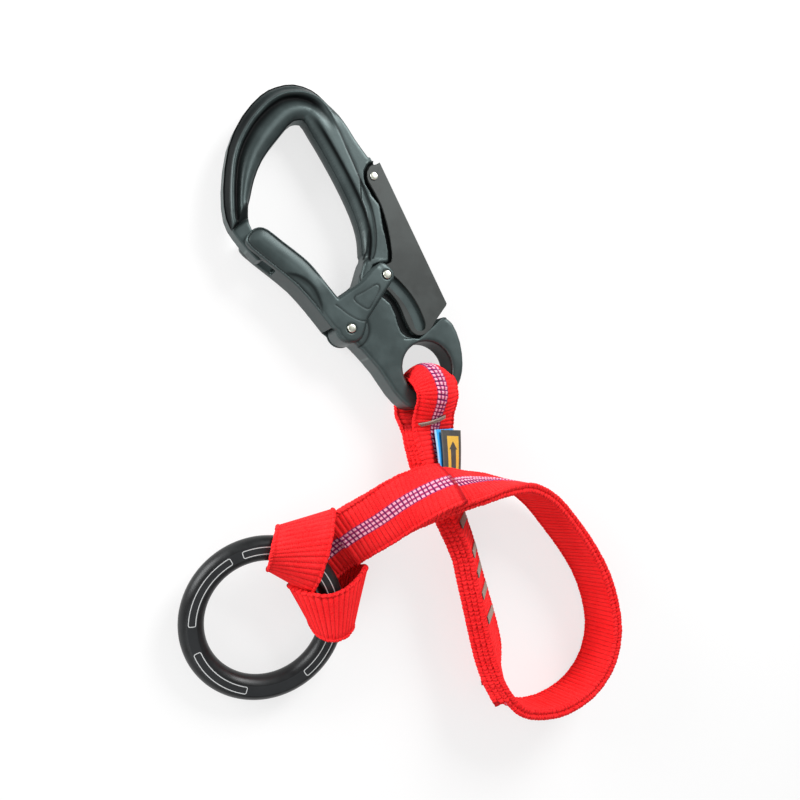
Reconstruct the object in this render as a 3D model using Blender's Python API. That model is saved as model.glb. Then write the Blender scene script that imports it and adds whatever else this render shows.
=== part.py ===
import math

import bmesh
import bpy
from mathutils import Vector

# Every length is in millimetres and is turned into metres where a mesh is made.
MM = 0.001

# Shift that puts the middle of the lying cowtail's footprint on the origin.
SHIFT_X = 6.02
SHIFT_Y = -3.17
SHIFT_Z = -0.193

# Hook: its frame has its origin in the middle of the sewn eye's hole.
EYE_X = 11.2
EYE_Y = 14.6
MID_Z = 9.95
EYE_HOLE_R = 12.4
EYE_ROUNDING = 0.9
BODY_HALF = 7.0
BODY_CHAMFER = 1.1
TONGUE_HALF = BODY_HALF - 3.0
RECESS_HALF = BODY_HALF - 1.9
GROOVE_DEPTH = 1.0
GROOVE_WIDTH = 3.0

# Gate
GATE_PIVOT = (-38.0, 15.4)
GATE_SLOT_HALF = BODY_HALF + 0.3
GATE_ARM = 1.7
GATE_HALF = GATE_SLOT_HALF + GATE_ARM
GATE_CHAMFER = 1.3
FORK_SLOT_HALF = TONGUE_HALF + 0.5
CORE_HALF = GATE_SLOT_HALF - 1.8
GATE_RIVET_R = 1.8
GATE_RIVET_HEAD_R = 2.3
BOSS_R = 6.5

# Lock pins, carried by the gate's arms
LOCK_PIN = (-21.3, 41.1)
LOCK_PIN_R = 1.8
LOCK_HEAD_R = 2.3
LOBE_R = 4.2

# Degrees that the gate opens, how far the trigger turns for each of them, and the spare slot past the last
GATE_OPEN = 42.0
TRIGGER_SHARE = 0.065
SLOT_SPARE = 5.0
SLOT_WIDTH = 5.0

# Trigger
TRIGGER_PIVOT = (-27.0, 86.6)
TRIGGER_RIVET_R = 1.6
TRIGGER_HEAD_R = 2.1
WEB = 1.5
CHEEK_IN = RECESS_HALF + 0.3
CHEEK_OUT = CHEEK_IN + WEB
TRIGGER_EDGE = [(-24.1, 93.5), (9.6, 30.7)]

# Rivets and springs
HOLE_GAP = 0.1
HEAD_TOP = GATE_HALF + 0.8
HEAD_GAP = 0.2
PIN_GAP = 0.05
GATE_SPRING_R = 3.4
GATE_SPRING_WIRE = 0.8
TRIGGER_SPRING_R = 2.75
TRIGGER_SPRING_WIRE = 0.6

# Ring
RING_MID_R = 29.75
RING_BAR_R = 5.25
RING_CENTRE = (-62.4, -94.0, 10.42)
RING_TILT = (-0.055, -0.165, 1.0)

# Webbing
WEBBING = 25.0
PLY = 1.9
PITCH = 2.45
FLAT = 4000.0

BODY_OUTER = [(-79.5, 43), (-84, 47.4), (-89, 53), (-93, 60), (-94.4, 73), (-92.6, 91.4), (-87, 106),
              (-79, 117), (-72.2, 122), (-64.1, 124.8), (-55.7, 123.6), (-49.6, 119.6), (-42.9, 113.3),
              (-35.7, 103.2), (-30.3, 96.6), (-26.8, 92.8), (-24.3, 89.4)]
BODY_PLATE = [(1.8, 31.7), (1.2, 26.5), (2.4, 23), (4.6, 22.9), (8, 24.3), (12.9, 21.8), (17, 13), (18.3, 3),
              (17.2, -3.9), (14.7, -8.6), (8.5, -14.7), (2.9, -16.9), (-3, -18.6), (-9.5, -18.2),
              (-16.5, -12), (-24, -2), (-32, 6.2)]
BODY_INNER = [(-36.9, 23), (-35.2, 32), (-33, 40.5), (-31, 47.5), (-30.1, 54.5), (-30.5, 61), (-33.6, 70),
              (-38.4, 79.6), (-43.8, 89), (-49.5, 98), (-53.9, 104.4), (-57.3, 108.2), (-61.5, 108.8),
              (-66.5, 105.8), (-72.7, 98), (-78.5, 88.6), (-82.1, 78.5), (-83.6, 70), (-83.7, 64),
              (-83, 58.8), (-80, 53.4), (-75.8, 48.4), (-75.4, 45.2), (-77, 43.2)]
GROOVE = [(-89, 63.5), (-89.5, 69.3), (-89.4, 76.3), (-88.7, 84.6), (-85.6, 97), (-80, 107.5), (-72.9, 114.2),
          (-65.7, 117), (-59.6, 116.6), (-53.6, 113), (-49.6, 108.8), (-45.1, 102.3), (-40.6, 95), (-35.7, 85.4),
          (-30.6, 74), (-27.6, 65), (-26.6, 56.5), (-27, 50.4)]

GATE_BLADE = [(-44.1, 29.1), (-49.7, 35.3), (-54.8, 41), (-59.8, 45.4), (-69.7, 51.9), (-75.9, 56), (-79.8, 56.6),
              (-83.4, 54.4), (-85.3, 50.4), (-83.2, 47), (-73.3, 40), (-63.1, 32.7), (-54.6, 24.2), (-46.6, 15)]

TRIGGER_CHEEK = [(-26.6, 92.2), *TRIGGER_EDGE, (8.6, 27.2), (4.9, 23.7), (-4.7, 15.1), (-9.7, 14.8), (-21, 32.3),
                 (-24.8, 36.6), (-25.5, 41), (-24, 45.2), (-19.6, 48.2), (-18.1, 53.5), (-22.1, 74), (-31.2, 83),
                 (-32, 87), (-30.2, 90.6)]
TRIGGER_RECESS = [(-24, 98), (16, 40), (12, 28), (5.6, 22.4), (-4.4, 13.4), (-13.8, 12.8), (-24.9, 31.6),
                  (-28, 36), (-28.6, 41), (-27, 46), (-22.4, 49.2), (-20.6, 54), (-24, 73.6), (-32.2, 82.6),
                  (-33.2, 87.4), (-31.4, 91.8), (-28, 94.6)]

# Stations of the strap: x, y, z in the middle of its two plies, the roll of its width, and one over the radius
# that its width is arched to.
STRAP = [(14.6, -6, 12, 8, 0), (15.4, -14, 12, 18, 0), (17, -22, 12, 28, 0), (20, -34, 13, 37, 0),
         (24.8, -50, 14.4, 52, 0), (31.8, -66.8, 14.8, 58, 0), (35.3, -79, 14.6, 57, 0), (39, -92, 14.4, 55, 0),
         (42.5, -105, 14.4, 53, 0), (45, -115, 14.4, 54, 0), (47, -124, 14.2, 62, 0), (49.8, -132.6, 13.8, 74, 0),
         (55, -139.8, 13.1, 84, 0), (63.5, -143.2, 12.9, 90, 0), (76.5, -142.6, 12.9, 90, 0),
         (90, -137.2, 12.9, 90, 0), (99.4, -129, 12.9, 90, 0), (104.9, -119.6, 12.9, 90, 0),
         (107.2, -108, 12.9, 90, 0), (105.4, -95, 12.9, 89, 0), (100.6, -81.8, 12.9, 87, 0),
         (92.8, -69.4, 13, 85, 0), (82.8, -57.6, 13.8, 84, 0), (71.4, -46.6, 15.6, 86, 0),
         (59, -40, 18.4, 94, 0), (46.6, -38.4, 21.6, 105, 0), (33.2, -38.4, 26, 119, -0.015),
         (19.1, -40.4, 31.2, 141, -0.03), (6.5, -45, 31.2, 161, -0.035), (-4.8, -50.2, 24, 173, -0.02),
         (-14.4, -55.6, 17.2, 178, -0.01), (-24.4, -61.2, 10.8, 182, 0), (-33.5, -67.8, 7, 185, 0),
         (-41, -74.4, 6, 186, 0), (-47.6, -81, 6.6, 186, 0)]
TAIL_END = 11
OVERLAP_START = 27
OVERLAP_END = 31

# The two turns of the hitch over the ring's bar, each ruled between a tight edge and a loose one, and the part
# that joins them under the strap.
UPPER_TIGHT = [(-58, -57.4, 11), (-58.4, -57, 15.4), (-59.6, -59, 20), (-61, -63.6, 23.4), (-62, -68, 22.6),
               (-62.6, -71.4, 19), (-62.4, -72.6, 14.6), (-61.6, -72.4, 10.6)]
UPPER_LOOSE = [(-31.8, -50.4, 13), (-32.4, -51, 16), (-34.4, -55.6, 20), (-36.2, -61, 22.8), (-38.6, -68.6, 24),
               (-40.8, -76.6, 22.8), (-42.2, -82.4, 18.6), (-42.4, -84, 13)]
LOWER_LOOSE = [(-52.2, -81.6, 9), (-52.4, -82.6, 12.6), (-50.2, -84.2, 17.4), (-43.6, -85, 22.2), (-34.6, -84, 23),
               (-25.4, -79.8, 21.4), (-18.8, -74.8, 17.6), (-16.4, -73.8, 12.6), (-16.6, -74.2, 6.6)]
LOWER_TIGHT = [(-41.4, -98, 6), (-41.6, -99.6, 10), (-40.4, -102.6, 15), (-37, -104.6, 18.2), (-32.6, -105, 19),
               (-27.6, -103.8, 18), (-23.6, -101, 14.6), (-22.6, -99.4, 10), (-22.8, -98.6, 5.6)]
BIGHT_NEAR = [(-23.4, -97, 3.4), (-27, -90, 2.2), (-37, -77, 2.2), (-47, -68, 2.2), (-55, -60, 3), (-57.6, -57.4, 7)]
BIGHT_FAR = [(-18.6, -73.4, 3.4), (-20.4, -69, 2.2), (-25.4, -62.4, 2.2), (-29, -58, 2.2), (-32, -54.6, 3),
             (-33, -53.4, 5)]

# Corners of the two labels: free end left and right, then the held end left and right
BLUE_TAG = [(14.5, -13.6, 16.4), (25.9, -12.6, 12.6), (15.5, -33.4, 19.9), (27, -33.4, 12.2)]
BLACK_TAG = [(17.4, -13.6, 16.9), (29.3, -13.4, 13.2), (17.6, -33.2, 19.7), (29.6, -33.2, 12.6)]
BLUE_THICK = 0.8
BLACK_THICK = 0.5

# Places of the first and last stitched bar along the strap's stations, and how many there are
TACKS = (4.4, 7.5)
TACK_COUNT = 5
TACK_HALF_LENGTH = 1.7
TACK_REACH = 7.5
TACK_THICK = 0.7

# The single ply through the hook's eye: middle, width direction, one over the radius it is arched to, and how much
# of its width is left where the hole squeezes it.
EYE_LOOP = [((13.2, -7.4, 3.2), (-1, -0.04, 0.02), 0, 1), ((12.9, -4.4, 1.45), (-1, -0.06, 0), 0, 0.98),
            ((12.4, 3.4, 1.4), (-1, -0.1, 0), 0, 0.94), ((11.6, 8.8, 1.35), (-1, -0.14, 0), 0.005, 0.9),
            ((11.2, 13.2, 2.2), (-1, -0.17, 0), 0.06, 0.88), ((10.9, 16, 5.4), (-1, -0.18, 0), 0.1, 0.9),
            ((10.9, 16.7, 9.9), (-1, -0.18, 0), 0.106, 0.94), ((10.8, 16.3, 14.6), (-1, -0.17, 0.02), 0.102, 0.97),
            ((11.1, 14.7, 19.8), (-1, -0.15, 0.04), 0.098, 1), ((12.5, 11, 23.2), (-1, -0.11, 0.06), 0.083, 1),
            ((14.2, 6.2, 24.4), (-1, -0.06, 0.1), 0.071, 1), ((15.2, 1.4, 24.2), (-1, 0, 0.16), 0.067, 1),
            ((15.6, -3.2, 21.4), (-1, 0.04, 0.2), 0.06, 1), ((15.5, -8, 16.9), (-1, 0.02, 0.26), 0.04, 1)]


def clear_scene():
    for item in list(bpy.data.objects):
        bpy.data.objects.remove(item, do_unlink=True)


def material(name, colour, metallic, roughness):
    made = bpy.data.materials.new(name)
    made.use_nodes = True
    shader = made.node_tree.nodes["Principled BSDF"]
    shader.inputs["Base Color"].default_value = (*colour, 1)
    shader.inputs["Metallic"].default_value = metallic
    shader.inputs["Roughness"].default_value = roughness
    made.diffuse_color = (*colour, 1)
    return made


def empty(name, parent, x, y, z):
    made = bpy.data.objects.new(name, None)
    bpy.context.scene.collection.objects.link(made)
    made.empty_display_size = 0.01
    made.parent = parent
    made.location = (x * MM, y * MM, z * MM)
    return made


def make(name, points, faces, parent, look=None, pivot=(0, 0, 0), smooth=False):
    """A mesh object from points in millimetres, stored about its parent's axis."""
    mesh = bpy.data.meshes.new(name)
    mesh.from_pydata([tuple((a - b) * MM for a, b in zip(p, pivot)) for p in points], [], faces)
    builder = bmesh.new()
    builder.from_mesh(mesh)
    bmesh.ops.recalc_face_normals(builder, faces=builder.faces)
    for face in builder.faces:
        face.smooth = smooth
    builder.to_mesh(mesh)
    builder.free()
    made = bpy.data.objects.new(name, mesh)
    bpy.context.scene.collection.objects.link(made)
    made.parent = parent
    if look:
        mesh.materials.append(look)
    else:
        made.hide_render = True
        made.display_type = "WIRE"
    return made


def spline(points, steps, closed=False):
    """A smooth curve through the points."""
    count = len(points)
    found = []
    for i in range(count if closed else count - 1):
        if closed:
            four = [points[(i + k) % count] for k in (-1, 0, 1, 2)]
        else:
            four = [points[min(max(i + k, 0), count - 1)] for k in (-1, 0, 1, 2)]
        for k in range(steps):
            t = k / steps
            found.append(tuple(0.5 * (2 * b + (c - a) * t + (2 * a - 5 * b + 4 * c - d) * t * t
                                      + (3 * b - a - 3 * c + d) * t ** 3) for a, b, c, d in zip(*four)))
    if not closed:
        found.append(tuple(points[-1]))
    return found


def polar(centre, radius, degrees):
    turn = math.radians(degrees)
    return centre[0] + radius * math.cos(turn), centre[1] + radius * math.sin(turn)


def arc(centre, radius, start, end, steps):
    return [polar(centre, radius, start + (end - start) * k / steps) for k in range(steps + 1)]


def turned_about(point, centre, degrees):
    x, y = point[0] - centre[0], point[1] - centre[1]
    cos, sin = math.cos(math.radians(degrees)), math.sin(math.radians(degrees))
    return centre[0] + x * cos - y * sin, centre[1] + x * sin + y * cos


def lock_path(steps):
    """The way of the lock pin through the trigger's cheek as the gate opens."""
    found = []
    for k in range(steps + 1):
        opened = (GATE_OPEN + SLOT_SPARE) * k / steps
        pin = turned_about(LOCK_PIN, GATE_PIVOT, -opened)
        found.append(turned_about(pin, TRIGGER_PIVOT, opened * TRIGGER_SHARE))
    return found


def side_normals(outline):
    """The outward direction at each point of an anticlockwise outline."""
    count = len(outline)
    found = []
    for i in range(count):
        before = Vector(outline[i]) - Vector(outline[i - 1])
        after = Vector(outline[(i + 1) % count]) - Vector(outline[i])
        one = Vector((before.y, -before.x)).normalized()
        two = Vector((after.y, -after.x)).normalized()
        both = (one + two).normalized()
        found.append(both / max(both.dot(one), 0.6))
    return found


def grown(outline, distance):
    return [(p[0] + n.x * distance, p[1] + n.y * distance) for p, n in zip(outline, side_normals(outline))]


def anticlockwise(outline):
    area = sum(a[0] * b[1] - b[0] * a[1] for a, b in zip(outline, outline[1:] + outline[:1]))
    return list(outline) if area > 0 else list(reversed(outline))


def prism(name, outline, low, high, parent, look=None, chamfer=0, pivot=(0, 0), smooth=False):
    """A flat plate from low to high, with its two rims cut back by chamfer."""
    outline = anticlockwise(outline)
    count = len(outline)
    if chamfer:
        inner = grown(outline, -chamfer)
        rings = [(inner, low), (outline, low + chamfer), (outline, high - chamfer), (inner, high)]
    else:
        rings = [(outline, low), (outline, high)]
    points = [(x, y, z) for ring, z in rings for x, y in ring]
    faces = [tuple(reversed(range(count))), tuple(range(len(points) - count, len(points)))]
    for row in range(len(rings) - 1):
        for i in range(count):
            k = (i + 1) % count
            faces.append((row * count + i, row * count + k, (row + 1) * count + k, (row + 1) * count + i))
    return make(name, points, faces, parent, look, (pivot[0], pivot[1], 0), smooth)


def turned(name, centre, profile, sides, parent, look=None, pivot=(0, 0)):
    """A solid turned about the upright line through centre, from (radius, height) pairs."""
    points = [(*polar(centre, r, 360 * k / sides), z) for r, z in profile for k in range(sides)]
    faces = [tuple(reversed(range(sides))), tuple(range(len(points) - sides, len(points)))]
    for row in range(len(profile) - 1):
        for i in range(sides):
            k = (i + 1) % sides
            faces.append((row * sides + i, row * sides + k, (row + 1) * sides + k, (row + 1) * sides + i))
    made = make(name, points, faces, parent, look, (pivot[0], pivot[1], 0), True)
    return made


def band(points, width, steps=6):
    """The outline of a line of the given width with round ends."""
    left, right = [], []
    for i, p in enumerate(points):
        a, b = points[max(i - 1, 0)], points[min(i + 1, len(points) - 1)]
        along = Vector((b[0] - a[0], b[1] - a[1])).normalized() * width / 2
        left.append((p[0] - along.y, p[1] + along.x))
        right.append((p[0] + along.y, p[1] - along.x))
    first = Vector((points[1][0] - points[0][0], points[1][1] - points[0][1]))
    last = Vector((points[-1][0] - points[-2][0], points[-1][1] - points[-2][1]))
    end = math.degrees(math.atan2(last.y, last.x))
    start = math.degrees(math.atan2(first.y, first.x))
    round_end = arc(points[-1], width / 2, end + 90, end - 90, steps)[1:-1]
    round_start = arc(points[0], width / 2, start - 90, start - 270, steps)[1:-1]
    return left + round_end + right[::-1] + round_start


def boolean(target, cutter, operation="DIFFERENCE"):
    change = target.modifiers.new(cutter.name, "BOOLEAN")
    change.operation = operation
    change.solver = "EXACT"
    change.object = cutter
    return change


def tube(name, line, radius, sides, parent, look, pivot, closed=False):
    """A round bar along a line of points."""
    count = len(line)
    points, faces = [], []
    across = Vector((0, 0, 1))
    for i in range(count):
        if closed:
            along = Vector(line[(i + 1) % count]) - Vector(line[i - 1])
        else:
            along = Vector(line[min(i + 1, count - 1)]) - Vector(line[max(i - 1, 0)])
        along.normalize()
        across = (across - along * across.dot(along)).normalized()
        third = along.cross(across)
        for k in range(sides):
            turn = 2 * math.pi * k / sides
            points.append(tuple(Vector(line[i]) + (across * math.cos(turn) + third * math.sin(turn)) * radius))
    for i in range(count if closed else count - 1):
        for k in range(sides):
            a, b = i * sides, ((i + 1) % count) * sides
            faces.append((a + k, a + (k + 1) % sides, b + (k + 1) % sides, b + k))
    if not closed:
        faces.append(tuple(reversed(range(sides))))
        faces.append(tuple(range(len(points) - sides, len(points))))
    return make(name, points, faces, parent, look, pivot, True)


def coil(name, centre, radius, wire, turns, low, high, parent, look, pivot):
    steps = int(turns * 16)
    line = [(*polar(centre, radius, 360 * turns * k / steps), low + (high - low) * k / steps)
            for k in range(steps + 1)]
    return tube(name, line, wire / 2, 6, parent, look, (pivot[0], pivot[1], 0))


def arch_radius(bend):
    return 1 / bend if abs(bend) > 0.001 else FLAT


def between(frames, place):
    """The strap's frame at a fractional place along it."""
    low = int(place)
    part = place - low
    a, b = frames[low], frames[low + 1]
    return (*(a[k].lerp(b[k], part) for k in range(3)), a[3])


def strap_frames(stations, steps):
    """Centre, width direction, face direction and arch radius along the two sewn plies."""
    line = spline(stations, steps)
    found = []
    for i, (x, y, z, roll, bend) in enumerate(line):
        a, b = line[max(i - 1, 0)], line[min(i + 1, len(line) - 1)]
        along = Vector((b[0] - a[0], b[1] - a[1], b[2] - a[2])).normalized()
        side = along.cross(Vector((0, 0, 1))).normalized()
        lift = side.cross(along)
        width = side * math.cos(math.radians(roll)) + lift * math.sin(math.radians(roll))
        found.append((Vector((x, y, z)), width, width.cross(along), arch_radius(bend)))
    return found


def arched(centre, width, face, radius, reach, offset):
    """A point at a distance from the middle of an arched ply, measured round its arch."""
    angle = reach / radius
    over = radius + offset
    return centre + width * over * math.sin(angle) + face * (over * math.cos(angle) - radius)


def ribbon(name, sections, parent, look, columns=4, thick=PLY):
    """A ply of webbing through sections of (centre, width, face, arch radius, half width)."""
    points, faces = [], []
    row = 2 * (columns + 1)
    for centre, width, face, radius, half in sections:
        reaches = [half * (2 * k / columns - 1) for k in range(columns + 1)]
        points += [arched(centre, width, face, radius, s, thick / 2) for s in reaches]
        points += [arched(centre, width, face, radius, s, -thick / 2) for s in reversed(reaches)]
    for i in range(len(sections) - 1):
        for k in range(row):
            a, b = i * row, (i + 1) * row
            faces.append((a + k, a + (k + 1) % row, b + (k + 1) % row, b + k))
    last = len(points) - row
    for k in range(columns):
        faces.append((k, k + 1, row - 2 - k, row - 1 - k))
        faces.append((last + k, last + row - 1 - k, last + row - 2 - k, last + k + 1))
    return make(name, [tuple(p) for p in points], faces, parent, look, (0, 0, 0), True)


def sheet(name, left, right, thick, columns, parent, look):
    """A ply ruled between two edge lines, with its thickness under the stated face."""
    count = len(left)
    grid = [[Vector(left[i]).lerp(Vector(right[i]), k / columns) for k in range(columns + 1)] for i in range(count)]
    under = []
    for i in range(count):
        line = []
        for k in range(columns + 1):
            along = grid[min(i + 1, count - 1)][k] - grid[max(i - 1, 0)][k]
            across = grid[i][min(k + 1, columns)] - grid[i][max(k - 1, 0)]
            line.append(grid[i][k] - across.cross(along).normalized() * thick)
        under.append(line)
    points = [tuple(p) for g in (grid, under) for line in g for p in line]
    wide = columns + 1
    size = count * wide
    faces = []
    for i in range(count - 1):
        for k in range(columns):
            a = i * wide + k
            faces.append((a, a + 1, a + wide + 1, a + wide))
            faces.append((size + a, size + a + wide, size + a + wide + 1, size + a + 1))
    border = [i * wide for i in range(count)] + [(count - 1) * wide + k for k in range(1, wide)]
    border += [i * wide + columns for i in range(count - 2, -1, -1)] + [k for k in range(columns - 1, 0, -1)]
    for a, b in zip(border, border[1:] + border[:1]):
        faces.append((a, b, size + b, size + a))
    return make(name, points, faces, parent, look, (0, 0, 0), True)


def build():
    clear_scene()
    hook_metal = material("anodised_hook", (0.07, 0.095, 0.09), 0.8, 0.45)
    steel = material("steel", (0.6, 0.62, 0.55), 1.0, 0.3)
    ring_metal = material("ring_alloy", (0.024, 0.026, 0.027), 0.7, 0.4)
    red = material("webbing_red", (0.86, 0.02, 0.03), 0, 0.85)
    thread = material("thread", (0.33, 0.27, 0.22), 0, 0.9)
    blue = material("label_blue", (0.01, 0.37, 0.87), 0, 0.7)
    dark = material("label_dark", (0.04, 0.04, 0.035), 0, 0.7)

    cowtail = empty("cowtail", None, -SHIFT_X, -SHIFT_Y, -SHIFT_Z)
    hook = empty("hook_frame", cowtail, EYE_X, EYE_Y, MID_Z)
    gate_axis = empty("gate_axis", hook, *GATE_PIVOT, 0)
    trigger_axis = empty("trigger_axis", hook, *TRIGGER_PIVOT, 0)
    ring_axis = empty("ring_axis", cowtail, *RING_CENTRE)

    # Hook body
    outline = BODY_OUTER + BODY_PLATE
    outline = spline(outline, 2)[:-1] + [outline[-1]]
    boss = arc(GATE_PIVOT, BOSS_R, -68, -262, 10)
    outline = outline + boss + spline(BODY_INNER, 2)
    body = prism("hook_body", outline, -BODY_HALF, BODY_HALF, hook, hook_metal, BODY_CHAMFER)
    groove = band(spline(GROOVE, 2), GROOVE_WIDTH)
    for side, sign in (("front", 1), ("rear", -1)):
        levels = {
            "groove": (groove, BODY_HALF - GROOVE_DEPTH, 9),
            "recess": (TRIGGER_RECESS, RECESS_HALF, 9),
            "tongue": ([(-97, 52), (-90.6, 54.6), (-83.9, 60.7), (-80, 65), (-70, 50), (-74, 38), (-86, 40)],
                       TONGUE_HALF, 9),
        }
        for name, (shape, low, high) in levels.items():
            cutter = prism(f"cut_{name}_{side}", shape, min(low * sign, high * sign), max(low * sign, high * sign),
                           hook)
            boolean(body, cutter)
    r, c = EYE_HOLE_R, EYE_ROUNDING
    hole = turned("cut_eye", (0, 0), [(r + c + 2, -BODY_HALF - 2), (r + c, -BODY_HALF), (r, -BODY_HALF + c),
                                      (r, BODY_HALF - c), (r + c, BODY_HALF), (r + c + 2, BODY_HALF + 2)], 40, hook)
    boolean(body, hole)
    wide = GATE_SPRING_R + GATE_SPRING_WIRE / 2 + 0.3
    bore = GATE_RIVET_R + HOLE_GAP
    boolean(body, turned("cut_gate_bore", GATE_PIVOT,
                         [(bore, -12), (bore, -3), (wide, -3), (wide, 3), (bore, 3), (bore, 12)], 28, hook))
    wide = TRIGGER_SPRING_R + TRIGGER_SPRING_WIRE / 2 + 0.25
    bore = TRIGGER_RIVET_R + HOLE_GAP
    boolean(body, turned("cut_trigger_bore", TRIGGER_PIVOT,
                         [(bore, -12), (bore, -2.5), (wide, -2.5), (wide, 2.5), (bore, 2.5), (bore, 12)], 28, hook))

    # Gate
    pivot = GATE_PIVOT
    shape = spline(GATE_BLADE, 2)
    shape += arc(pivot, 6.7, 195, 342, 9) + [(-29.8, 20.2)]
    shape += arc(LOCK_PIN, LOBE_R, -48, 138, 10)
    gate = prism("gate", shape, -GATE_HALF, GATE_HALF, gate_axis, hook_metal, GATE_CHAMFER, pivot)
    wedge = [pivot, polar(pivot, 25, 130), polar(pivot, 25.4, 124), polar(pivot, 25.4, 118), polar(pivot, 25, 110),
             polar(pivot, 50, 110), polar(pivot, 60, 60), polar(pivot, 50, 15), polar(pivot, 12, -15)]
    fork = [polar(pivot, 41, a) for a in (118, 130, 142, 154)] + [polar(pivot, 72, a) for a in (154, 136, 118)]
    core = [polar(pivot, *p) for p in ((24, 127), (30, 128.5), (37, 130.5), (42, 132), (42, 143), (37, 142.5),
                                       (30, 141.5), (24, 141))]
    for name, plan, half in (("wedge", wedge, GATE_SLOT_HALF), ("fork", fork, FORK_SLOT_HALF),
                             ("core", core, CORE_HALF)):
        boolean(gate, prism(f"cut_{name}", plan, -half, half, gate_axis, pivot=pivot))
    boolean(gate, turned("cut_gate_root", pivot, [(8.5, -GATE_SLOT_HALF), (8.5, GATE_SLOT_HALF)], 36, gate_axis,
                         pivot=pivot))
    bore = GATE_RIVET_R + HOLE_GAP
    boolean(gate, turned("cut_gate_hole", pivot, [(bore, -12), (bore, 12)], 28, gate_axis, pivot=pivot))
    bore = LOCK_PIN_R + HOLE_GAP
    boolean(gate, turned("cut_lock_hole", LOCK_PIN, [(bore, -12), (bore, 12)], 24, gate_axis, pivot=pivot))

    top = GATE_HALF + HEAD_GAP
    turned("gate_pivot_rivet", pivot, [(GATE_RIVET_HEAD_R - 0.4, -HEAD_TOP), (GATE_RIVET_HEAD_R, -top - 0.2),
                                       (GATE_RIVET_HEAD_R, -top), (GATE_RIVET_R, -top), (GATE_RIVET_R, top),
                                       (GATE_RIVET_HEAD_R, top), (GATE_RIVET_HEAD_R, top + 0.2),
                                       (GATE_RIVET_HEAD_R - 0.4, HEAD_TOP)], 28, gate_axis, steel, pivot)
    for side, sign in (("front", 1), ("rear", -1)):
        profile = [(LOCK_PIN_R, CHEEK_IN - PIN_GAP), (LOCK_PIN_R, top), (LOCK_HEAD_R, top), (LOCK_HEAD_R, top + 0.2),
                   (LOCK_HEAD_R - 0.4, HEAD_TOP)]
        profile = [(r, z * sign) for r, z in profile]
        turned(f"lock_pin_{side}", LOCK_PIN, profile, 24, gate_axis, steel, pivot)
    coil("gate_spring", pivot, GATE_SPRING_R, GATE_SPRING_WIRE, 3.5, -2.1, 2.1, gate_axis, steel, pivot)

    # Trigger
    pivot = TRIGGER_PIVOT
    trigger = prism("trigger_lever", TRIGGER_CHEEK, -CHEEK_OUT, CHEEK_OUT, trigger_axis, hook_metal, 0, pivot)
    upper, lower = (Vector(p) for p in TRIGGER_EDGE)
    along = (lower - upper).normalized()
    across = Vector((along.y, -along.x))
    edge = upper + across * WEB
    inside = [tuple(edge - along * 10), tuple(edge + along * 90), tuple(edge + along * 90 + across * 60),
              tuple(edge - along * 10 + across * 60)]
    boolean(trigger, prism("cut_channel", inside, -CHEEK_IN, CHEEK_IN, trigger_axis, pivot=pivot))
    boolean(trigger, prism("cut_lock_slot", band(lock_path(12), SLOT_WIDTH), -9, 9, trigger_axis,
                           pivot=pivot))
    bore = TRIGGER_RIVET_R + HOLE_GAP
    boolean(trigger, turned("cut_trigger_hole", pivot, [(bore, -12), (bore, 12)], 24, trigger_axis, pivot=pivot))
    top = CHEEK_OUT + HEAD_GAP
    turned("trigger_pivot_rivet", pivot, [(TRIGGER_HEAD_R - 0.3, -top - 0.6), (TRIGGER_HEAD_R, -top - 0.3),
                                          (TRIGGER_HEAD_R, -top), (TRIGGER_RIVET_R, -top), (TRIGGER_RIVET_R, top),
                                          (TRIGGER_HEAD_R, top), (TRIGGER_HEAD_R, top + 0.3),
                                          (TRIGGER_HEAD_R - 0.3, top + 0.6)], 24, trigger_axis, steel, pivot)
    coil("trigger_spring", pivot, TRIGGER_SPRING_R, TRIGGER_SPRING_WIRE, 3, -1.7, 1.7, trigger_axis, steel, pivot)

    # Ring
    normal = Vector(RING_TILT).normalized()
    first = Vector((1, 0, 0)).cross(normal).cross(normal).normalized() * -1
    second = normal.cross(first)
    centre = Vector(RING_CENTRE)
    line = [centre + (first * math.cos(math.radians(a)) + second * math.sin(math.radians(a))) * RING_MID_R
            for a in range(0, 360, 6)]
    tube("ring", line, RING_BAR_R, 16, ring_axis, ring_metal, RING_CENTRE, closed=True)

    # Webbing
    steps = 3
    frames = strap_frames(STRAP, steps)
    begin = steps
    end_tail = TAIL_END * steps

    def layer(start, stop, offset):
        return [(c + n * offset, w, n, r + offset, WEBBING / 2) for c, w, n, r in frames[start:stop + 1]]

    rear = [(c - n * (2.5 * PITCH), w, -n, FLAT, WEBBING / 2)
            for c, w, n, _ in reversed(frames[begin:end_tail + 1])]
    eye = []
    for x, y, z, bend, left, wx, wy, wz in spline([(*c, k, left, *w) for c, w, k, left in EYE_LOOP], 2):
        eye.append((Vector((x, y, z)), Vector((wx, wy, wz)), None, arch_radius(bend), WEBBING / 2 * left))
    front = layer(begin, len(frames) - 1, PITCH / 2)
    whole = rear + eye + front
    sections = []
    for i, (c, w, n, radius, half) in enumerate(whole):
        if n is None:
            along = (whole[i + 1][0] - whole[i - 1][0]).normalized()
            w = (w - along * w.dot(along)).normalized()
            n = w.cross(along)
        sections.append((c, w, n, radius, half))
    ribbon("webbing_inner", sections, cowtail, red, 6)
    ribbon("webbing_outer", layer(2, len(frames) - 1, -PITCH / 2), cowtail, red)
    ribbon("webbing_tail", layer(2, end_tail, -1.5 * PITCH), cowtail, red)
    ribbon("webbing_overlap", layer(OVERLAP_START * steps + 1, OVERLAP_END * steps + 1, -1.5 * PITCH), cowtail, red)
    sheet("hitch_wrap_upper", spline(UPPER_TIGHT, 2), spline(UPPER_LOOSE, 2), PLY, 4, cowtail, red)
    sheet("hitch_wrap_lower", spline(LOWER_LOOSE, 2), spline(LOWER_TIGHT, 2), PLY, 4, cowtail, red)
    sheet("hitch_bight", spline(BIGHT_NEAR, 2), spline(BIGHT_FAR, 2), PLY, 4, cowtail, red)

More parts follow.
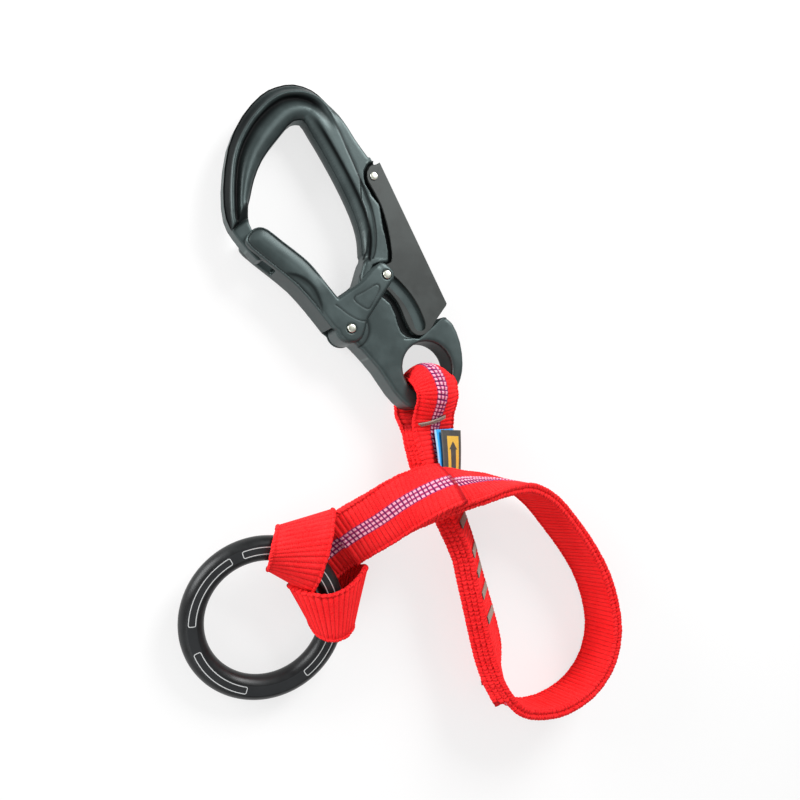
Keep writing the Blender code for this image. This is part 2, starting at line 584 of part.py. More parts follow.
    # Stitched bars and labels, laid on the front face of the strap
    def patch(name, rows, along_half, reach, thick, lift):
        c, w, n, r = rows[:4]
        along = n.cross(w).normalized() * along_half
        over = PLY / 2 + lift + thick / 2
        ribbon(name, [(c + n * over + along * k, w, n, r + over, reach) for k in (-1, 0, 1)], cowtail, thread, 4,
               thick)

    first, last = TACKS
    for k in range(TACK_COUNT):
        c, w, n, r = between(frames, steps * (first + (last - first) * k / (TACK_COUNT - 1)))
        patch(f"bartack_{k + 1}", (c + n * PITCH / 2, w, n, r), TACK_HALF_LENGTH, TACK_REACH, TACK_THICK, 0.2)
    patch("bartack_eye", sections[len(rear) + len(eye) - 1][:4], 1.2, 8, 0.8, 0.7)
    for name, corners, thick, look in (("label_blue", BLUE_TAG, BLUE_THICK, blue),
                                       ("label_black", BLACK_TAG, BLACK_THICK, dark)):
        one, two, three, four = corners
        sheet(name, [one, three], [two, four], thick, 1, cowtail, look)


build()
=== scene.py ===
import math
from functools import partial

import bmesh
import bpy
import numpy as np
from mathutils import Matrix, Vector, kdtree


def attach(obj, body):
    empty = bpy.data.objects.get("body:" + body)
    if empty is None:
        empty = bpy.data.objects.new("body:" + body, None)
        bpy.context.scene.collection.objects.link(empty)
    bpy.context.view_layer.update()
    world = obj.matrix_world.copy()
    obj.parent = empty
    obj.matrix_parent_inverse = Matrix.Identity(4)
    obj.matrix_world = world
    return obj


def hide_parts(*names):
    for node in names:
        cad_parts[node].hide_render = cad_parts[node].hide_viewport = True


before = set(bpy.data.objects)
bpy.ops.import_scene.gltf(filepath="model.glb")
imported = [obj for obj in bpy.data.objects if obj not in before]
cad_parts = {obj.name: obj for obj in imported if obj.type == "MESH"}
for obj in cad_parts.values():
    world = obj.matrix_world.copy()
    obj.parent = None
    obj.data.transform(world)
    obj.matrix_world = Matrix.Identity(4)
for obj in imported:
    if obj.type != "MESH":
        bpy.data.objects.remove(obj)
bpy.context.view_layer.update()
mm = 0.001

# Pieces are written in millimetres from the drawing's own origin, the hook's from its eye. These place them.
shift = np.array((6.02, -3.17, -0.193))
hookPlace = np.array((11.2, 14.6, 9.95))


# Colours and nodes
def linear(hexText):
    parts = [int(hexText[k:k + 2], 16) / 255 for k in (1, 3, 5)]
    return tuple(c / 12.92 if c < 0.04045 else ((c + 0.055) / 1.055) ** 2.4 for c in parts) + (1,)


def feed(node, inputs):
    for place, value in (inputs.items() if isinstance(inputs, dict) else enumerate(inputs)):
        if isinstance(value, bpy.types.NodeSocket):
            node.id_data.links.new(value, node.inputs[place])
        else:
            node.inputs[place].default_value = value


def addNode(tree, kind, settings, inputs=(), output=0):
    node = tree.nodes.new("ShaderNode" + kind)
    for name, value in settings.items():
        setattr(node, name, value)
    feed(node, inputs)
    return node.outputs[output]


# A material, what adds its nodes, its shader, and its noises, each given by its grain in millimetres and detail
def newMaterial(name, surface, *noises):
    made = bpy.data.materials.new(name)
    made.use_nodes = True
    add, shader = partial(addNode, made.node_tree), made.node_tree.nodes["Principled BSDF"]
    feed(shader, surface)
    place = add("TexCoord", {}, output=3) if noises else None
    noises = [add("TexNoise", {}, {"Vector": place, "Scale": 1 / (mm * k), "Detail": d}) for k, d in noises]
    return made, add, shader, *noises


eased = {"interpolation_type": "SMOOTHSTEP"}
times, least, size, less = ({"operation": k} for k in ("MULTIPLY", "MINIMUM", "ABSOLUTE", "LESS_THAN"))
most, minus, wave, plus = ({"operation": k} for k in ("MAXIMUM", "SUBTRACT", "SINE", "ADD"))


# The distances across and along a cloth, or from the ring's middle line and round it
def measured(add):
    measure = add("UVMap", {"uv_map": "cloth"})
    return [add("SeparateXYZ", {}, [measure], k) for k in (0, 1)]


# Two colours, mixed by a value between low and high
def twoColours(add, value, low, high, one, two):
    return add("MixRGB", {}, [add("MapRange", eased, [value, low, high]), linear(one), linear(two)])


# Blasted and anodised forging: satin, faintly cloudy, paler on rubbed edges; painted shade makes it near black
# and less shiny where marked
def anodisedFinish(name, colours, roughness, grainMm):
    made, add, shader, cloud, grain = newMaterial(name, {}, (11, 4), (grainMm, 2))
    edge = add("NewGeometry", {}, output=7)
    rubbed = add("MapRange", eased, [edge, 0.54, 0.66, 0.0, 0.3])
    # Painted shade, marked on the vertices when the hook and gate are shaped
    hollow = add("Attribute", {"attribute_name": "hollow"}, output=2)
    colour = twoColours(add, cloud, 0.35, 0.7, colours["base"], colours["tint"])
    colour = add("MixRGB", {}, [rubbed, colour, linear(colours["rubbed"])])
    feed(shader, {
        "Base Color": add("MixRGB", {}, [hollow, colour, linear(colours["hollow"])]),
        "Roughness": add("MapRange", eased, [cloud, 0.3, 0.7, roughness - 0.04, roughness + 0.06]),
        "Metallic": add("MapRange", {}, [hollow, 0.0, 0.8, 0.6, 0.1]),
        "Specular IOR Level": add("MapRange", {}, [hollow, 0.0, 0.8, 0.5, 0.08]),
        "Normal": add("Bump", {}, {"Strength": 0.3, "Distance": 0.03 * mm, "Height": grain}),
    })
    return made


ring = {
    "centre": (-62.4, -94.0, 10.42), "tilt": (-0.055, -0.165, 1.0), "midRadius": 29.75, "bar": 5.25,
    "flat": 0.45, "sides": 60, "steps": 180, "faceHalf": 2.1, "fieldHalf": 1.45, "corner": 0.7, "line": 0.34,
    "fields": [(121, 182), (204, 258), (308, 350), (12, 52), (66, 111)],
}


# Black hard anodised ring: smoother than the hook, with white outlines of blank fields lasered on its flat
def ringFinish(name):
    made, add, shader, cloud, grain = newMaterial(name, {"Metallic": 0.5}, (8, 4), (0.35, 2))
    across, around = measured(add)
    aside = add("Math", size, [across])
    wide = add("Math", minus, [aside, ring["fieldHalf"] - ring["corner"]])
    wideOut = add("Math", most, [wide, 0.0])
    perDegree = math.radians(ring["midRadius"])
    mark = 0.0
    for start, end in ring["fields"]:
        away = add("Math", size, [add("Math", minus, [around, (start + end) / 2])])
        away = add("Math", times, [away, perDegree])
        long = add("Math", minus, [away, (end - start) / 2 * perDegree - ring["corner"]])
        longOut = add("Math", most, [long, 0.0])
        out = add("Math", plus, [add("Math", times, [k, k]) for k in (wideOut, longOut)])
        out = add("Math", {"operation": "SQRT"}, [out])
        inner = add("Math", least, [add("Math", most, [wide, long]), 0.0])
        rim = add("Math", minus, [add("Math", plus, [out, inner]), ring["corner"]])
        line = add("Math", less, [add("Math", size, [rim]), ring["line"] / 2])
        mark = add("Math", most, [mark, line])
    colour = twoColours(add, cloud, 0.35, 0.7, "#191a1b", "#222425")
    # Painted light: the flat faces are painted lighter than the rounded sides
    paintedLightFlat = add("Math", times, [add("Math", less, [aside, ring["faceHalf"]]), 0.8])
    colour = add("MixRGB", {}, [paintedLightFlat, colour, linear("#323436")])
    feed(shader, {
        "Base Color": add("MixRGB", {}, [mark, colour, linear("#e4e6e6")]),
        "Roughness": add("MapRange", eased, [cloud, 0.3, 0.7, 0.32, 0.44]),
        "Normal": add("Bump", {}, {"Strength": 0.3, "Distance": 0.02 * mm, "Height": grain}),
    })
    return made


# Turned stainless steel: bright and a little warm, with a faint grain left by the tool
def steelFinish(name):
    surface = {"Metallic": 1.0, "Roughness": 0.32}
    made, add, shader, cloud, grain = newMaterial(name, surface, (1.5, 4), (0.3, 2))
    feed(shader, {
        "Base Color": twoColours(add, cloud, 0.3, 0.75, "#f2f4e8", "#c6c8b8"),
        "Normal": add("Bump", {}, {"Strength": 0.4, "Distance": 0.02 * mm, "Height": grain}),
    })
    return made


# Each of the strap's stations: x, y, z, the roll of its width, and one over the radius that it is arched to.
# Each of the eye's: x, y, z, the lean of its width in y and z, the arch, and the share of width that is left.
strap = {
    "width": 25.0, "thick": 1.9, "layerStep": 2.45, "flatRadius": 4000.0, "steps": 12,
    "rib": 2.1, "ribHeight": 0.42, "rowsPerRib": 6, "edgeCord": 0.95, "edgeHigh": 1.25, "edgeTwist": 1.6,
    "edgeKnob": 0.42, "yarn": 0.75, "sealed": 2.4, "slant": 0.3, "bandHalf": 2.85, "bandRow": 0.95,
    "stations": [
        (14.6, -6, 12, 8, 0), (15, -14, 12, 18, 0), (16.2, -22, 12, 27, 0), (18.8, -34, 13, 35, 0),
        (24.8, -50, 14.4, 52, 0), (31.8, -66.8, 14.8, 58, 0), (35.3, -79, 14.6, 57, 0),
        (39, -92, 14.4, 55, 0), (42.5, -105, 14.4, 53, 0), (45, -115, 14.4, 54, 0), (47, -124, 14.2, 62, 0),
        (49.8, -132.6, 13.8, 74, 0), (55, -139.8, 13.1, 84, 0), (63.5, -143.2, 12.9, 90, 0),
        (76.5, -142.6, 12.9, 90, 0), (90, -137.2, 12.9, 90, 0), (99.4, -129, 12.9, 90, 0),
        (104.9, -119.6, 12.9, 90, 0), (107.2, -108, 12.9, 90, 0), (105.4, -95, 12.9, 89, 0),
        (100.6, -81.8, 12.9, 87, 0), (92.8, -69.4, 13, 85, 0), (82.8, -57.6, 13.8, 84, 0),
        (71.4, -46.6, 15.6, 86, 0), (59, -40, 18.4, 92, 0), (46.4, -38.2, 21.8, 101, 0),
        (32.8, -37.8, 26.6, 112, -0.015), (19, -38.4, 32.4, 130, -0.03), (6.4, -41.4, 32.8, 143, -0.035),
        (-4.6, -47, 25.2, 160, -0.02), (-14.4, -54, 17.4, 173, -0.01), (-24.4, -60.7, 10.8, 180, 0),
        (-33.5, -67.8, 7, 185, 0), (-41, -74.4, 6, 186, 0), (-47.6, -81, 6.6, 186, 0)],
    "outerStart": 0.67, "tailEnd": 11, "overlapStart": 27.4, "overlapEnd": 31.34, "tracerStops": 3,
    "eye": [
        (13.2, -7.4, 3.2, -0.04, 0.02, 0, 1), (12.9, -4.4, 1.45, -0.06, 0, 0, 0.98),
        (12.4, 3.4, 1.4, -0.1, 0, 0, 0.94), (11.6, 8.8, 1.35, -0.14, 0, 0.005, 0.9),
        (11.2, 13.2, 2.2, -0.17, 0, 0.06, 0.88), (10.9, 16, 5.4, -0.18, 0, 0.1, 0.9),
        (10.9, 16.7, 9.9, -0.18, 0, 0.106, 0.94), (10.8, 16.3, 14.6, -0.17, 0.02, 0.102, 0.97),
        (11.1, 14.7, 19.8, -0.15, 0.04, 0.098, 1), (12.5, 11, 23.2, -0.11, 0.06, 0.083, 1),
        (14, 6.2, 24.4, -0.06, 0.1, 0.071, 0.98), (14.7, 1.4, 24.2, 0, 0.16, 0.067, 0.95),
        (14.9, -3.2, 21.4, 0.04, 0.2, 0.06, 0.91), (14.8, -8, 16.9, 0.02, 0.26, 0.04, 0.91)],
}

# The hitch's turns, each ruled between two edges
hitch = {
    "hitch_wrap_upper": (
        [(-57.6, -57.8, 11), (-58.4, -57.6, 15.4), (-61, -60, 20), (-63, -64.4, 23), (-63.4, -68, 22),
         (-62.8, -71.3, 18.6), (-61.9, -72.4, 14.6), (-61, -72.3, 10.6)],
        [(-31.8, -50.4, 13), (-32.4, -51, 16), (-34.4, -55.6, 20), (-36.2, -61, 22.8), (-38.6, -68.6, 24),
         (-40.8, -76.6, 22.8), (-42.2, -82.4, 18.6), (-42.4, -84, 13)]),
    "hitch_wrap_lower": (
        [(-52.2, -80.8, 9), (-52.4, -81.4, 12.6), (-50.3, -82.6, 17.4), (-43.8, -84, 22.2),
         (-34.6, -84, 23), (-25.4, -79.8, 21.4), (-18.8, -74.8, 17.6), (-16.4, -73.8, 12.6),
         (-16.6, -74.2, 6.6), (-18.2, -73.6, 3)],
        [(-41.4, -98, 6), (-41.6, -99.6, 10), (-40.4, -102.6, 15), (-37, -104.6, 18.2), (-32.6, -105, 19),
         (-27.6, -103.8, 18), (-23.6, -101, 14.6), (-22.6, -99.4, 10), (-22.8, -98.6, 5.6),
         (-24, -97, 2.8)]),
    "hitch_bight": (
        [(-22.4, -98.4, 5), (-23.4, -97, 3.4), (-27, -90, 2.2), (-37, -77, 2.2), (-47, -68, 2.2),
         (-54.6, -60.6, 3), (-56.6, -58.8, 7)],
        [(-16.8, -74.6, 5.2), (-18.6, -73.4, 3.4), (-20.4, -69, 2.2), (-25.4, -62.4, 2.2), (-29, -58, 2.2),
         (-32, -54.6, 3), (-33, -53.4, 5)]),
}


# Flat polyester webbing: dull and slightly downy, painted shade between its ribs, with a tracer of three dashed
# rows
def webbingFinish(name):
    surface = {"Roughness": 0.8, "Sheen Weight": 0.05, "Sheen Roughness": 0.5, "Sheen Tint": linear("#ff8c84"),
               "Specular IOR Level": 0.12}
    made, add, shader, fibre, patch = newMaterial(name, surface, (0.5, 3), (14, 3))
    across, along = measured(add)
    turns = [add("Math", times, [way, math.pi / strap[k]]) for way, k in ((along, "rib"), (across, "yarn"))]
    crest, yarn = (add("Math", size, [add("Math", wave, [turn])]) for turn in turns)
    red = twoColours(add, patch, 0.3, 0.7, "#f8121c", "#ff2128")
    # Painted shade between the ribs and between the yarns, and paler flecks of fibre
    shades = ((crest, 0.0, 0.6, 0.85, "#b8000d"), (yarn, 0.0, 0.45, 0.25, "#b80810"),
              (fibre, 0.62, 0.35, 0.3, "#ff4a44"))
    for shade, low, high, amount, colour in shades:
        share = add("MapRange", eased, [shade, low, high, amount, 0.0])
        red = add("MixRGB", {}, [share, red, linear(colour)])
    # Painted shade in the gaps between the knobs of the braided edges
    paintedBraidShade = add("Attribute", {"attribute_name": "hollow"}, output=2)
    red = add("MixRGB", {}, [paintedBraidShade, red, linear("#a0000a")])
    away = add("Math", size, [across])
    inBand = add("MapRange", eased, [away, strap["bandHalf"] - 0.1, strap["bandHalf"] + 0.1, 1.0, 0.0])
    row = add("Math", {"operation": "PINGPONG"}, [away, strap["bandRow"]])
    inRow = add("MapRange", eased, [row, 0.38, 0.62, 1.0, 0.0])
    slant = add("Math", plus, [turns[0], add("Math", times, [across, strap["slant"]])])
    slant = add("Math", size, [add("Math", wave, [slant])])
    dash = add("Math", times, [inRow, add("MapRange", eased, [slant, 0.3, 0.72])])
    pale = add("MixRGB", {}, [fibre, linear("#f9c4d2"), linear("#e088a6")])
    # Between the dashes the purple yarn, with painted shade darker toward the rib valleys
    between = twoColours(add, slant, 0.2, 0.7, "#6a1c54", "#a83464")
    tracer = add("MixRGB", {}, [dash, between, pale])
    red = add("MixRGB", {}, [inBand, red, tracer])
    sealed = add("MapRange", eased, [along, strap["sealed"] * 0.6, strap["sealed"], 0.8, 0.0])
    fine = add("Bump", {}, {"Strength": 0.5, "Distance": 0.14 * mm, "Height": fibre})
    feed(shader, {
        "Base Color": add("MixRGB", {}, [sealed, red, linear("#8e0812")]),
        "Normal": add("Bump", {}, {"Strength": 0.6, "Distance": 0.18 * mm, "Height": yarn, "Normal": fine}),
    })
    return made


# Bonded nylon thread: greyed by handling, with painted shade in the gaps between its satin stitches
def threadFinish(name):
    made, add, shader, fibre = newMaterial(name, {"Roughness": 0.6, "Sheen Weight": 0.15}, (0.4, 3))
    _, along = measured(add)
    turn = add("Math", times, [along, math.pi / tacks["stitch"]])
    crest = add("Math", size, [add("Math", wave, [turn])])
    grey = twoColours(add, fibre, 0.3, 0.7, "#a5998b", "#80766a")
    # Painted shade between the stitches
    gap = add("MapRange", eased, [crest, 0.0, 0.6, 0.75, 0.0])
    feed(shader, {
        "Base Color": add("MixRGB", {}, [gap, grey, linear("#54403a")]),
        "Normal": add("Bump", {}, {"Strength": 0.5, "Distance": 0.08 * mm, "Height": fibre}),
    })
    return made


# Woven polyester tape: matt, made of tiny over and under squares, paler along both edges
def tapeFinish(name, facts):
    made, add, shader, cloud = newMaterial(name, {"Roughness": 0.65, "Sheen Weight": 0.1}, (2.5, 3))
    across, along = measured(add)
    turns = [add("Math", times, [way, 2 * math.pi / labels["threadMm"]]) for way in (across, along)]
    weft = add("Math", times, [add("Math", wave, [turn]) for turn in turns])
    colour = twoColours(add, cloud, 0.3, 0.7, *facts["colours"])
    away = add("Math", size, [across])
    edge = add("MapRange", eased, [away, facts["width"] / 2 - 0.75, facts["width"] / 2 - 0.5, 0.0, 0.8])
    colour = add("MixRGB", {}, [edge, colour, linear(facts["edge"])])
    if "panel" in facts:
        panel, arrow = facts["panel"], facts["arrow"]
        away = add("Math", size, [add("Math", minus, [across, panel["middle"]])])
        yellow = twoColours(add, weft, -0.5, 0.5, "#c79a1e", "#e6bf45")
        slope = add("Math", minus, [along, arrow["tip"]])
        slope = add("Math", times, [slope, arrow["headHalf"] / (arrow["neck"] - arrow["tip"])])
        bounds = (((away, panel["half"]), (panel["start"], along)),
                  ((away, arrow["shaftHalf"]), (arrow["neck"] - 0.3, along)),
                  ((away, slope), (along, arrow["neck"])))
        inPanel, shaft, head = (add("Math", times, [add("Math", less, k) for k in pair]) for pair in bounds)
        dark = add("Math", most, [shaft, head])
        shown = add("Math", times, [inPanel, add("Math", minus, [1.0, dark])])
        colour = add("MixRGB", {}, [shown, colour, yellow])
    feed(shader, {
        "Base Color": colour,
        "Normal": add("Bump", {}, {"Strength": 0.5, "Distance": 0.05 * mm, "Height": weft}),
    })
    return made


# Meshes
def newObject(name, data):
    made = bpy.data.objects.new(name, data)
    bpy.context.scene.collection.objects.link(made)
    return made


def toMesh(bm, name):
    mesh = bpy.data.meshes.new(name)
    bm.to_mesh(mesh)
    bm.free()
    return mesh


def toObject(bm, name, look, body, node):
    mesh = toMesh(bm, name)
    mesh.materials.append(look)
    mesh.shade_smooth()
    made = newObject(name, mesh)
    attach(made, body)
    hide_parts(node)
    return made


# A line of radii and heights, spun to a turned piece
def spunShape(line, steps, closed=False):
    bm = bmesh.new()
    points = [bm.verts.new((r * mm, 0, z * mm)) for r, z in line]
    edges = [bm.edges.new(pair) for pair in zip(points, points[1:] + points[:closed])]
    bmesh.ops.spin(bm, geom=points + edges, cent=(0, 0, 0), axis=(0, 0, 1), angle=2 * math.pi, steps=steps,
                   use_merge=True)
    bmesh.ops.remove_doubles(bm, verts=bm.verts, dist=0.005 * mm)
    bmesh.ops.recalc_face_normals(bm, faces=bm.faces)
    return bm


def length(rows):
    return np.linalg.norm(rows, axis=-1)


def unit(rows):
    return rows / length(rows)[..., None]


# A smooth curve through rows of numbers
def smoothLine(rows, steps):
    rows = np.array(rows, float)
    a, b = np.vstack([rows[:1], rows[:-2]]), rows[:-1]
    c, d = rows[1:], np.vstack([rows[2:], rows[-1:]])
    t = (np.arange(steps) / steps)[None, :, None]
    a, b, c, d = (k[:, None, :] for k in (a, b, c, d))
    line = 0.5 * (2 * b + (c - a) * t + (2 * a - 5 * b + 4 * c - d) * t ** 2 + (3 * b - a - 3 * c + d) * t ** 3)
    return np.vstack([line.reshape(-1, rows.shape[1]), rows[-1:]])


def archRadius(bend):
    arched = np.abs(bend) > 1 / strap["flatRadius"]
    return np.where(arched, 1 / np.where(arched, bend, 1), strap["flatRadius"])


# A band is five things at each step: its middle, width direction, face direction, arch radius and half width
def strapBand():
    line = smoothLine(strap["stations"], strap["steps"])
    centre, roll = line[:, :3], np.radians(line[:, 3:4])
    along = unit(np.gradient(centre, axis=0))
    side = unit(np.cross(along, (0, 0, 1)))
    width = side * np.cos(roll) + np.cross(side, along) * np.sin(roll)
    half = np.full(len(line), strap["width"] / 2)
    return centre, width, np.cross(width, along), archRadius(line[:, 4]), half


def layer(band, start, stop, offset):
    centre, width, face, radius, half = (k[start:stop + 1] for k in band)
    return centre + face * offset, width, face, radius + offset, half


def squared(width, along):
    return unit(width - along * np.sum(width * along, axis=1, keepdims=True))


def eyeBand(steps):
    line = smoothLine(strap["eye"], steps)
    centre = line[:, :3]
    along = unit(np.gradient(centre, axis=0))
    width = squared(np.column_stack([np.full(len(line), -1), line[:, 3:5]]), along)
    return centre, width, np.cross(width, along), archRadius(line[:, 5]), line[:, 6] * strap["width"] / 2


def ruledBand(one, two):
    left, right = (smoothLine(edge, strap["steps"]) for edge in (one, two))
    centre = (left + right) / 2
    width = unit(right - left)
    face = np.cross(width, squared(unit(np.gradient(centre, axis=0)), width))
    flat = np.full(len(left), strap["flatRadius"])
    return centre - face * strap["thick"] / 2, width, face, flat, length(right - left) / 2


def evenSteps(band, step, smoothing):
    centre, width, face, radius, half = band
    away = np.concatenate([[0], np.cumsum(length(np.diff(centre, axis=0)))])
    places = np.linspace(0, away[-1], max(int(away[-1] / step), 4) + 1)
    rows = np.column_stack([centre, width, face, 1 / radius, half])
    found = np.column_stack([np.interp(places, away, row) for row in rows.T])
    for _ in range(smoothing):
        found[1:-1] = (found[:-2] + 2 * found[1:-1] + found[2:]) / 4
    return places, found[:, :3], unit(found[:, 3:6]), unit(found[:, 6:9]), 1 / found[:, 9], found[:, 10]


# The outline of one ply cut across. Each point: distance from the middle, height, how much it is of the braided
# edge, and the angle round that edge.
def plyOutline(made, columns):
    half, low = made["width"] / 2, made["thick"] / 2 - made["ribHeight"]
    cord, high = made["edgeCord"], made["edgeHigh"]
    flat = half - 2 * cord
    top = [(s, low, 0.0, 0.0) for s in np.linspace(-flat, flat, columns)]
    edge = [(half - cord + cord * math.sin(a), high * math.cos(a), 1.0, a)
            for a in np.linspace(-0.5, math.pi + 0.5, 13)]
    right = [(flat + 0.2, low - 0.1, 0.4, 0.0)] + edge + [(flat + 0.2, 0.1 - low, 0.4, 0.0)]
    return top + right + [(-s, -t, e, a) for s, t, e, a in top + right]


# How unevenly a ply is woven. A wander is two waves: size, turn for each millimetre and start. Where no tracer
# shows, noTracer moves the measure across away from its rows.
weaving = {
    "ribWander": ((0.22, 0.31, 0), (0.13, 0.83, 1.7)), "braidWander": ((0.3, 0.9, 0), (0.2, 2.3, 1)),
    "crestShape": 1.15, "crestUneven": (0.16, 2.4), "edgeUneven": (0.006, 0.9), "braidSlant": 0.9,
    "knobShape": 0.7, "knobMiddle": 0.7, "gapShape": 1.5, "noTracer": 200,
}


def wander(away, waves):
    (a, b, c), (d, e, f) = waves
    return away + a * np.sin(away * b + c) + d * np.sin(away * e + f)


# One woven ply along a band, with real ribs and braided edges. A tracer is given by its face, start and end.
def weave(name, band, look, node, tracer=None, made=strap, columns=9, smoothing=8):
    away, centre, width, face, radius, half = evenSteps(band, made["rib"] / made["rowsPerRib"], smoothing)
    outline = np.array(plyOutline(made, columns))
    s, t, braid, angle = np.vstack([outline, outline[:1]]).T
    warped = wander(away, weaving["ribWander"])
    uneven, turn = weaving["crestUneven"]
    crest = np.abs(np.sin(np.pi * warped / made["rib"])) ** weaving["crestShape"]
    crest = crest * (1 - uneven * np.sin(np.floor(warped / made["rib"]) * turn))
    uneven, turn = weaving["edgeUneven"]
    reach = s * (half / (made["width"] / 2))[:, None] * (1 + uneven * np.sin(away * turn))[:, None]
    lift = t + (np.sign(t) * (1 - braid)) * made["ribHeight"] * crest[:, None]
    strand = wander(away, weaving["braidWander"])[:, None] / made["edgeTwist"]
    strand = strand + weaving["braidSlant"] * np.abs(angle - np.pi / 2) / np.pi
    knob = np.abs(np.sin(np.pi * strand)) ** weaving["knobShape"]
    swell = (braid > 0.9) * (knob - weaving["knobMiddle"]) * made["edgeKnob"]
    lift = lift + swell * (np.cos(angle) * np.sign(s))
    reach = reach + swell * (np.sin(angle) * np.sign(s))
    # Painted shade: how dark the gap between two knobs of the braid is painted
    paintedGapShade = (braid > 0.9) * np.clip(1 - knob * weaving["gapShape"], 0, 1)
    bent = reach / radius[:, None]
    over = radius[:, None] + lift
    places = centre[:, None, :] + width[:, None, :] * (over * np.sin(bent))[..., None]
    places = places + face[:, None, :] * (over * np.cos(bent) - radius[:, None])[..., None]
    places = (places.reshape(-1, 3) - shift) * mm
    shown = np.zeros((len(away), len(s)), bool)
    if tracer:
        shown = (np.sign(t) == tracer[0]) & ((away >= tracer[1]) & (away <= tracer[2]))[:, None]
    measure = np.stack([np.where(shown, s, s + weaving["noTracer"]), warped[:, None] + 0 * s], axis=2)
    measure = measure.reshape(-1, 2)
    bm = bmesh.new()
    sheet = bm.loops.layers.uv.new("cloth")
    hollow = bm.verts.layers.float.new("hollow")
    bmesh.ops.create_grid(bm, x_segments=len(s) - 1, y_segments=len(away) - 1, size=1)
    bm.verts.index_update()
    for vert, place, gap in zip(bm.verts, places, paintedGapShade.reshape(-1)):
        vert.co = place
        vert[hollow] = gap
    for skin in bm.faces:
        for corner in skin.loops:
            corner[sheet].uv = measure[corner.vert.index]
    bmesh.ops.remove_doubles(bm, verts=bm.verts, dist=0.002 * mm)
    ends = bmesh.ops.holes_fill(bm, edges=[e for e in bm.edges if e.is_boundary], sides=0)["faces"]
    for corner in (corner for skin in ends for corner in skin.loops):
        corner[sheet].uv = (weaving["noTracer"], 0)
    bmesh.ops.recalc_face_normals(bm, faces=bm.faces)
    return toObject(bm, name, look, "sling", node)


def span(rows):
    return length(np.diff(rows, axis=0)).sum()


def buildWebbing(look):
    steps, step = strap["steps"], strap["layerStep"]
    outerStart, tailEnd, tracerStop, start, stop = (
        int(steps * strap[k]) for k in ("outerStart", "tailEnd", "tracerStops", "overlapStart", "overlapEnd"))
    band = strapBand()
    last = len(band[0]) - 1
    rear = tuple(k[::-1] for k in layer(band, steps, tailEnd, -2.5 * step))
    rear = (rear[0], rear[1], -rear[2], np.full(len(rear[0]), strap["flatRadius"]), rear[4])
    eye = tuple(k[:-1] for k in eyeBand(steps))
    front = layer(band, steps, last, step / 2)
    inner = tuple(np.concatenate(k) for k in zip(rear, eye, front))
    tail = span(rear[0])
    shown = tail + span(np.vstack([eye[0], layer(band, steps, tracerStop, step / 2)[0]]))
    whole = (-1, 0, math.inf)
    weave("ply_inner", inner, look, "webbing_inner", tracer=(1, tail, shown), smoothing=14)
    weave("ply_outer", layer(band, outerStart, last, -step / 2), look, "webbing_outer", tracer=whole)
    weave("ply_tail", layer(band, outerStart, tailEnd, -1.5 * step), look, "webbing_tail")
    weave("ply_overlap", layer(band, start, stop, -1.5 * step), look, "webbing_overlap", tracer=whole)
    for node, edges in hitch.items():
        weave(node.replace("hitch", "ply"), ruledBand(*edges), look, node)
    print("webbing woven")


# Bar tacks: satin stitches side by side across the strap
tacks = {
    "places": (4.4, 7.5), "count": 5, "stitch": 0.75, "rows": 25,
    "bar": {"length": 3.4, "reach": 9.4, "thick": 0.5, "lift": 0.15},
    "eye": {"length": 1.9, "reach": 6.4, "thick": 0.8, "lift": 0.7},
    "eyeSteps": 7, "eyeTilt": 0.3, "eyeAside": (2.4, 1.6),
    "satin": {"ribHeight": 0.18, "rowsPerRib": 5, "edgeCord": 0.25, "edgeKnob": 0.2},
}


def sewTack(look, place, facts, centre, width, face, radius):
    angles = np.linspace(-facts["reach"], facts["reach"], tacks["rows"]) / radius
    over = strap["thick"] / 2 + facts["lift"] + facts["thick"] / 2
    out = radius + over
    aside, high = np.sin(angles)[:, None], np.cos(angles)[:, None]
    middle = centre + width * (out * aside) + face * (out * high - radius)
    normal = width * aside + face * high
    along = unit(np.gradient(middle, axis=0))
    flat, half = (np.full(tacks["rows"], k) for k in (strap["flatRadius"], facts["length"] / 2))
    satin = {**tacks["satin"], "rib": tacks["stitch"], "edgeTwist": tacks["stitch"], "width": facts["length"],
             "thick": facts["thick"], "edgeHigh": facts["thick"] / 2}
    weave(f"tack_{place}", (middle, np.cross(along, normal), normal, flat, half), look, f"bartack_{place}",
          made=satin, columns=5, smoothing=0)


def buildTacks(look):
    band = strapBand()
    first, last = tacks["places"]
    for k in range(tacks["count"]):
        i = int(strap["steps"] * (first + (last - first) * k / (tacks["count"] - 1)))
        centre, width, face, radius = (b[i] for b in band[:4])
        sewTack(look, k + 1, tacks["bar"], centre + face * strap["layerStep"] / 2, width, face, radius)
    centre, width, face, radius = (b[-2] for b in eyeBand(tacks["eyeSteps"])[:4])
    along = np.cross(face, width)
    centre = centre + width * tacks["eyeAside"][0] + along * tacks["eyeAside"][1]
    sewTack(look, "eye", tacks["eye"], centre, unit(width + along * tacks["eyeTilt"]), face, radius)
    print("bar tacks stitched")


# Labels, each a rectangle of tape from its free end to the end that is sewn under the strap
labels = {
    "threadMm": 0.5, "bow": 0.3, "curl": 0.25, "worn": 0.12,
    "label_blue": {
        "made": "tape_blue", "slot": "label_blue", "finish": "blue woven tape",
        "thick": 0.8, "width": 12.0, "colours": ("#0c9cf4", "#20b2ff"), "edge": "#a8dcfa",
        "corners": ((14.5, -13.6, 16.4), (25.9, -12.6, 12.6), (15.5, -33.4, 19.9), (27, -33.4, 12.2))},
    "label_black": {
        "made": "tape_black", "slot": "label_dark", "finish": "dark woven tape",
        "thick": 0.5, "width": 12.5, "colours": ("#32332f", "#3e3f3a"), "edge": "#55554e",
        "panel": {"half": 3.7, "start": 2.8, "middle": 0.9},
        "arrow": {"tip": 5.2, "neck": 9.1, "headHalf": 2.7, "shaftHalf": 1.7},
        "corners": ((17.4, -13.6, 16.9), (29.3, -13.4, 13.2), (17.6, -33.2, 19.7), (29.6, -33.2, 12.6))},
}


def addModifier(made, name, kind, settings):
    change = made.modifiers.new(name, kind)
    for key, value in settings.items():
        setattr(change, key, value)


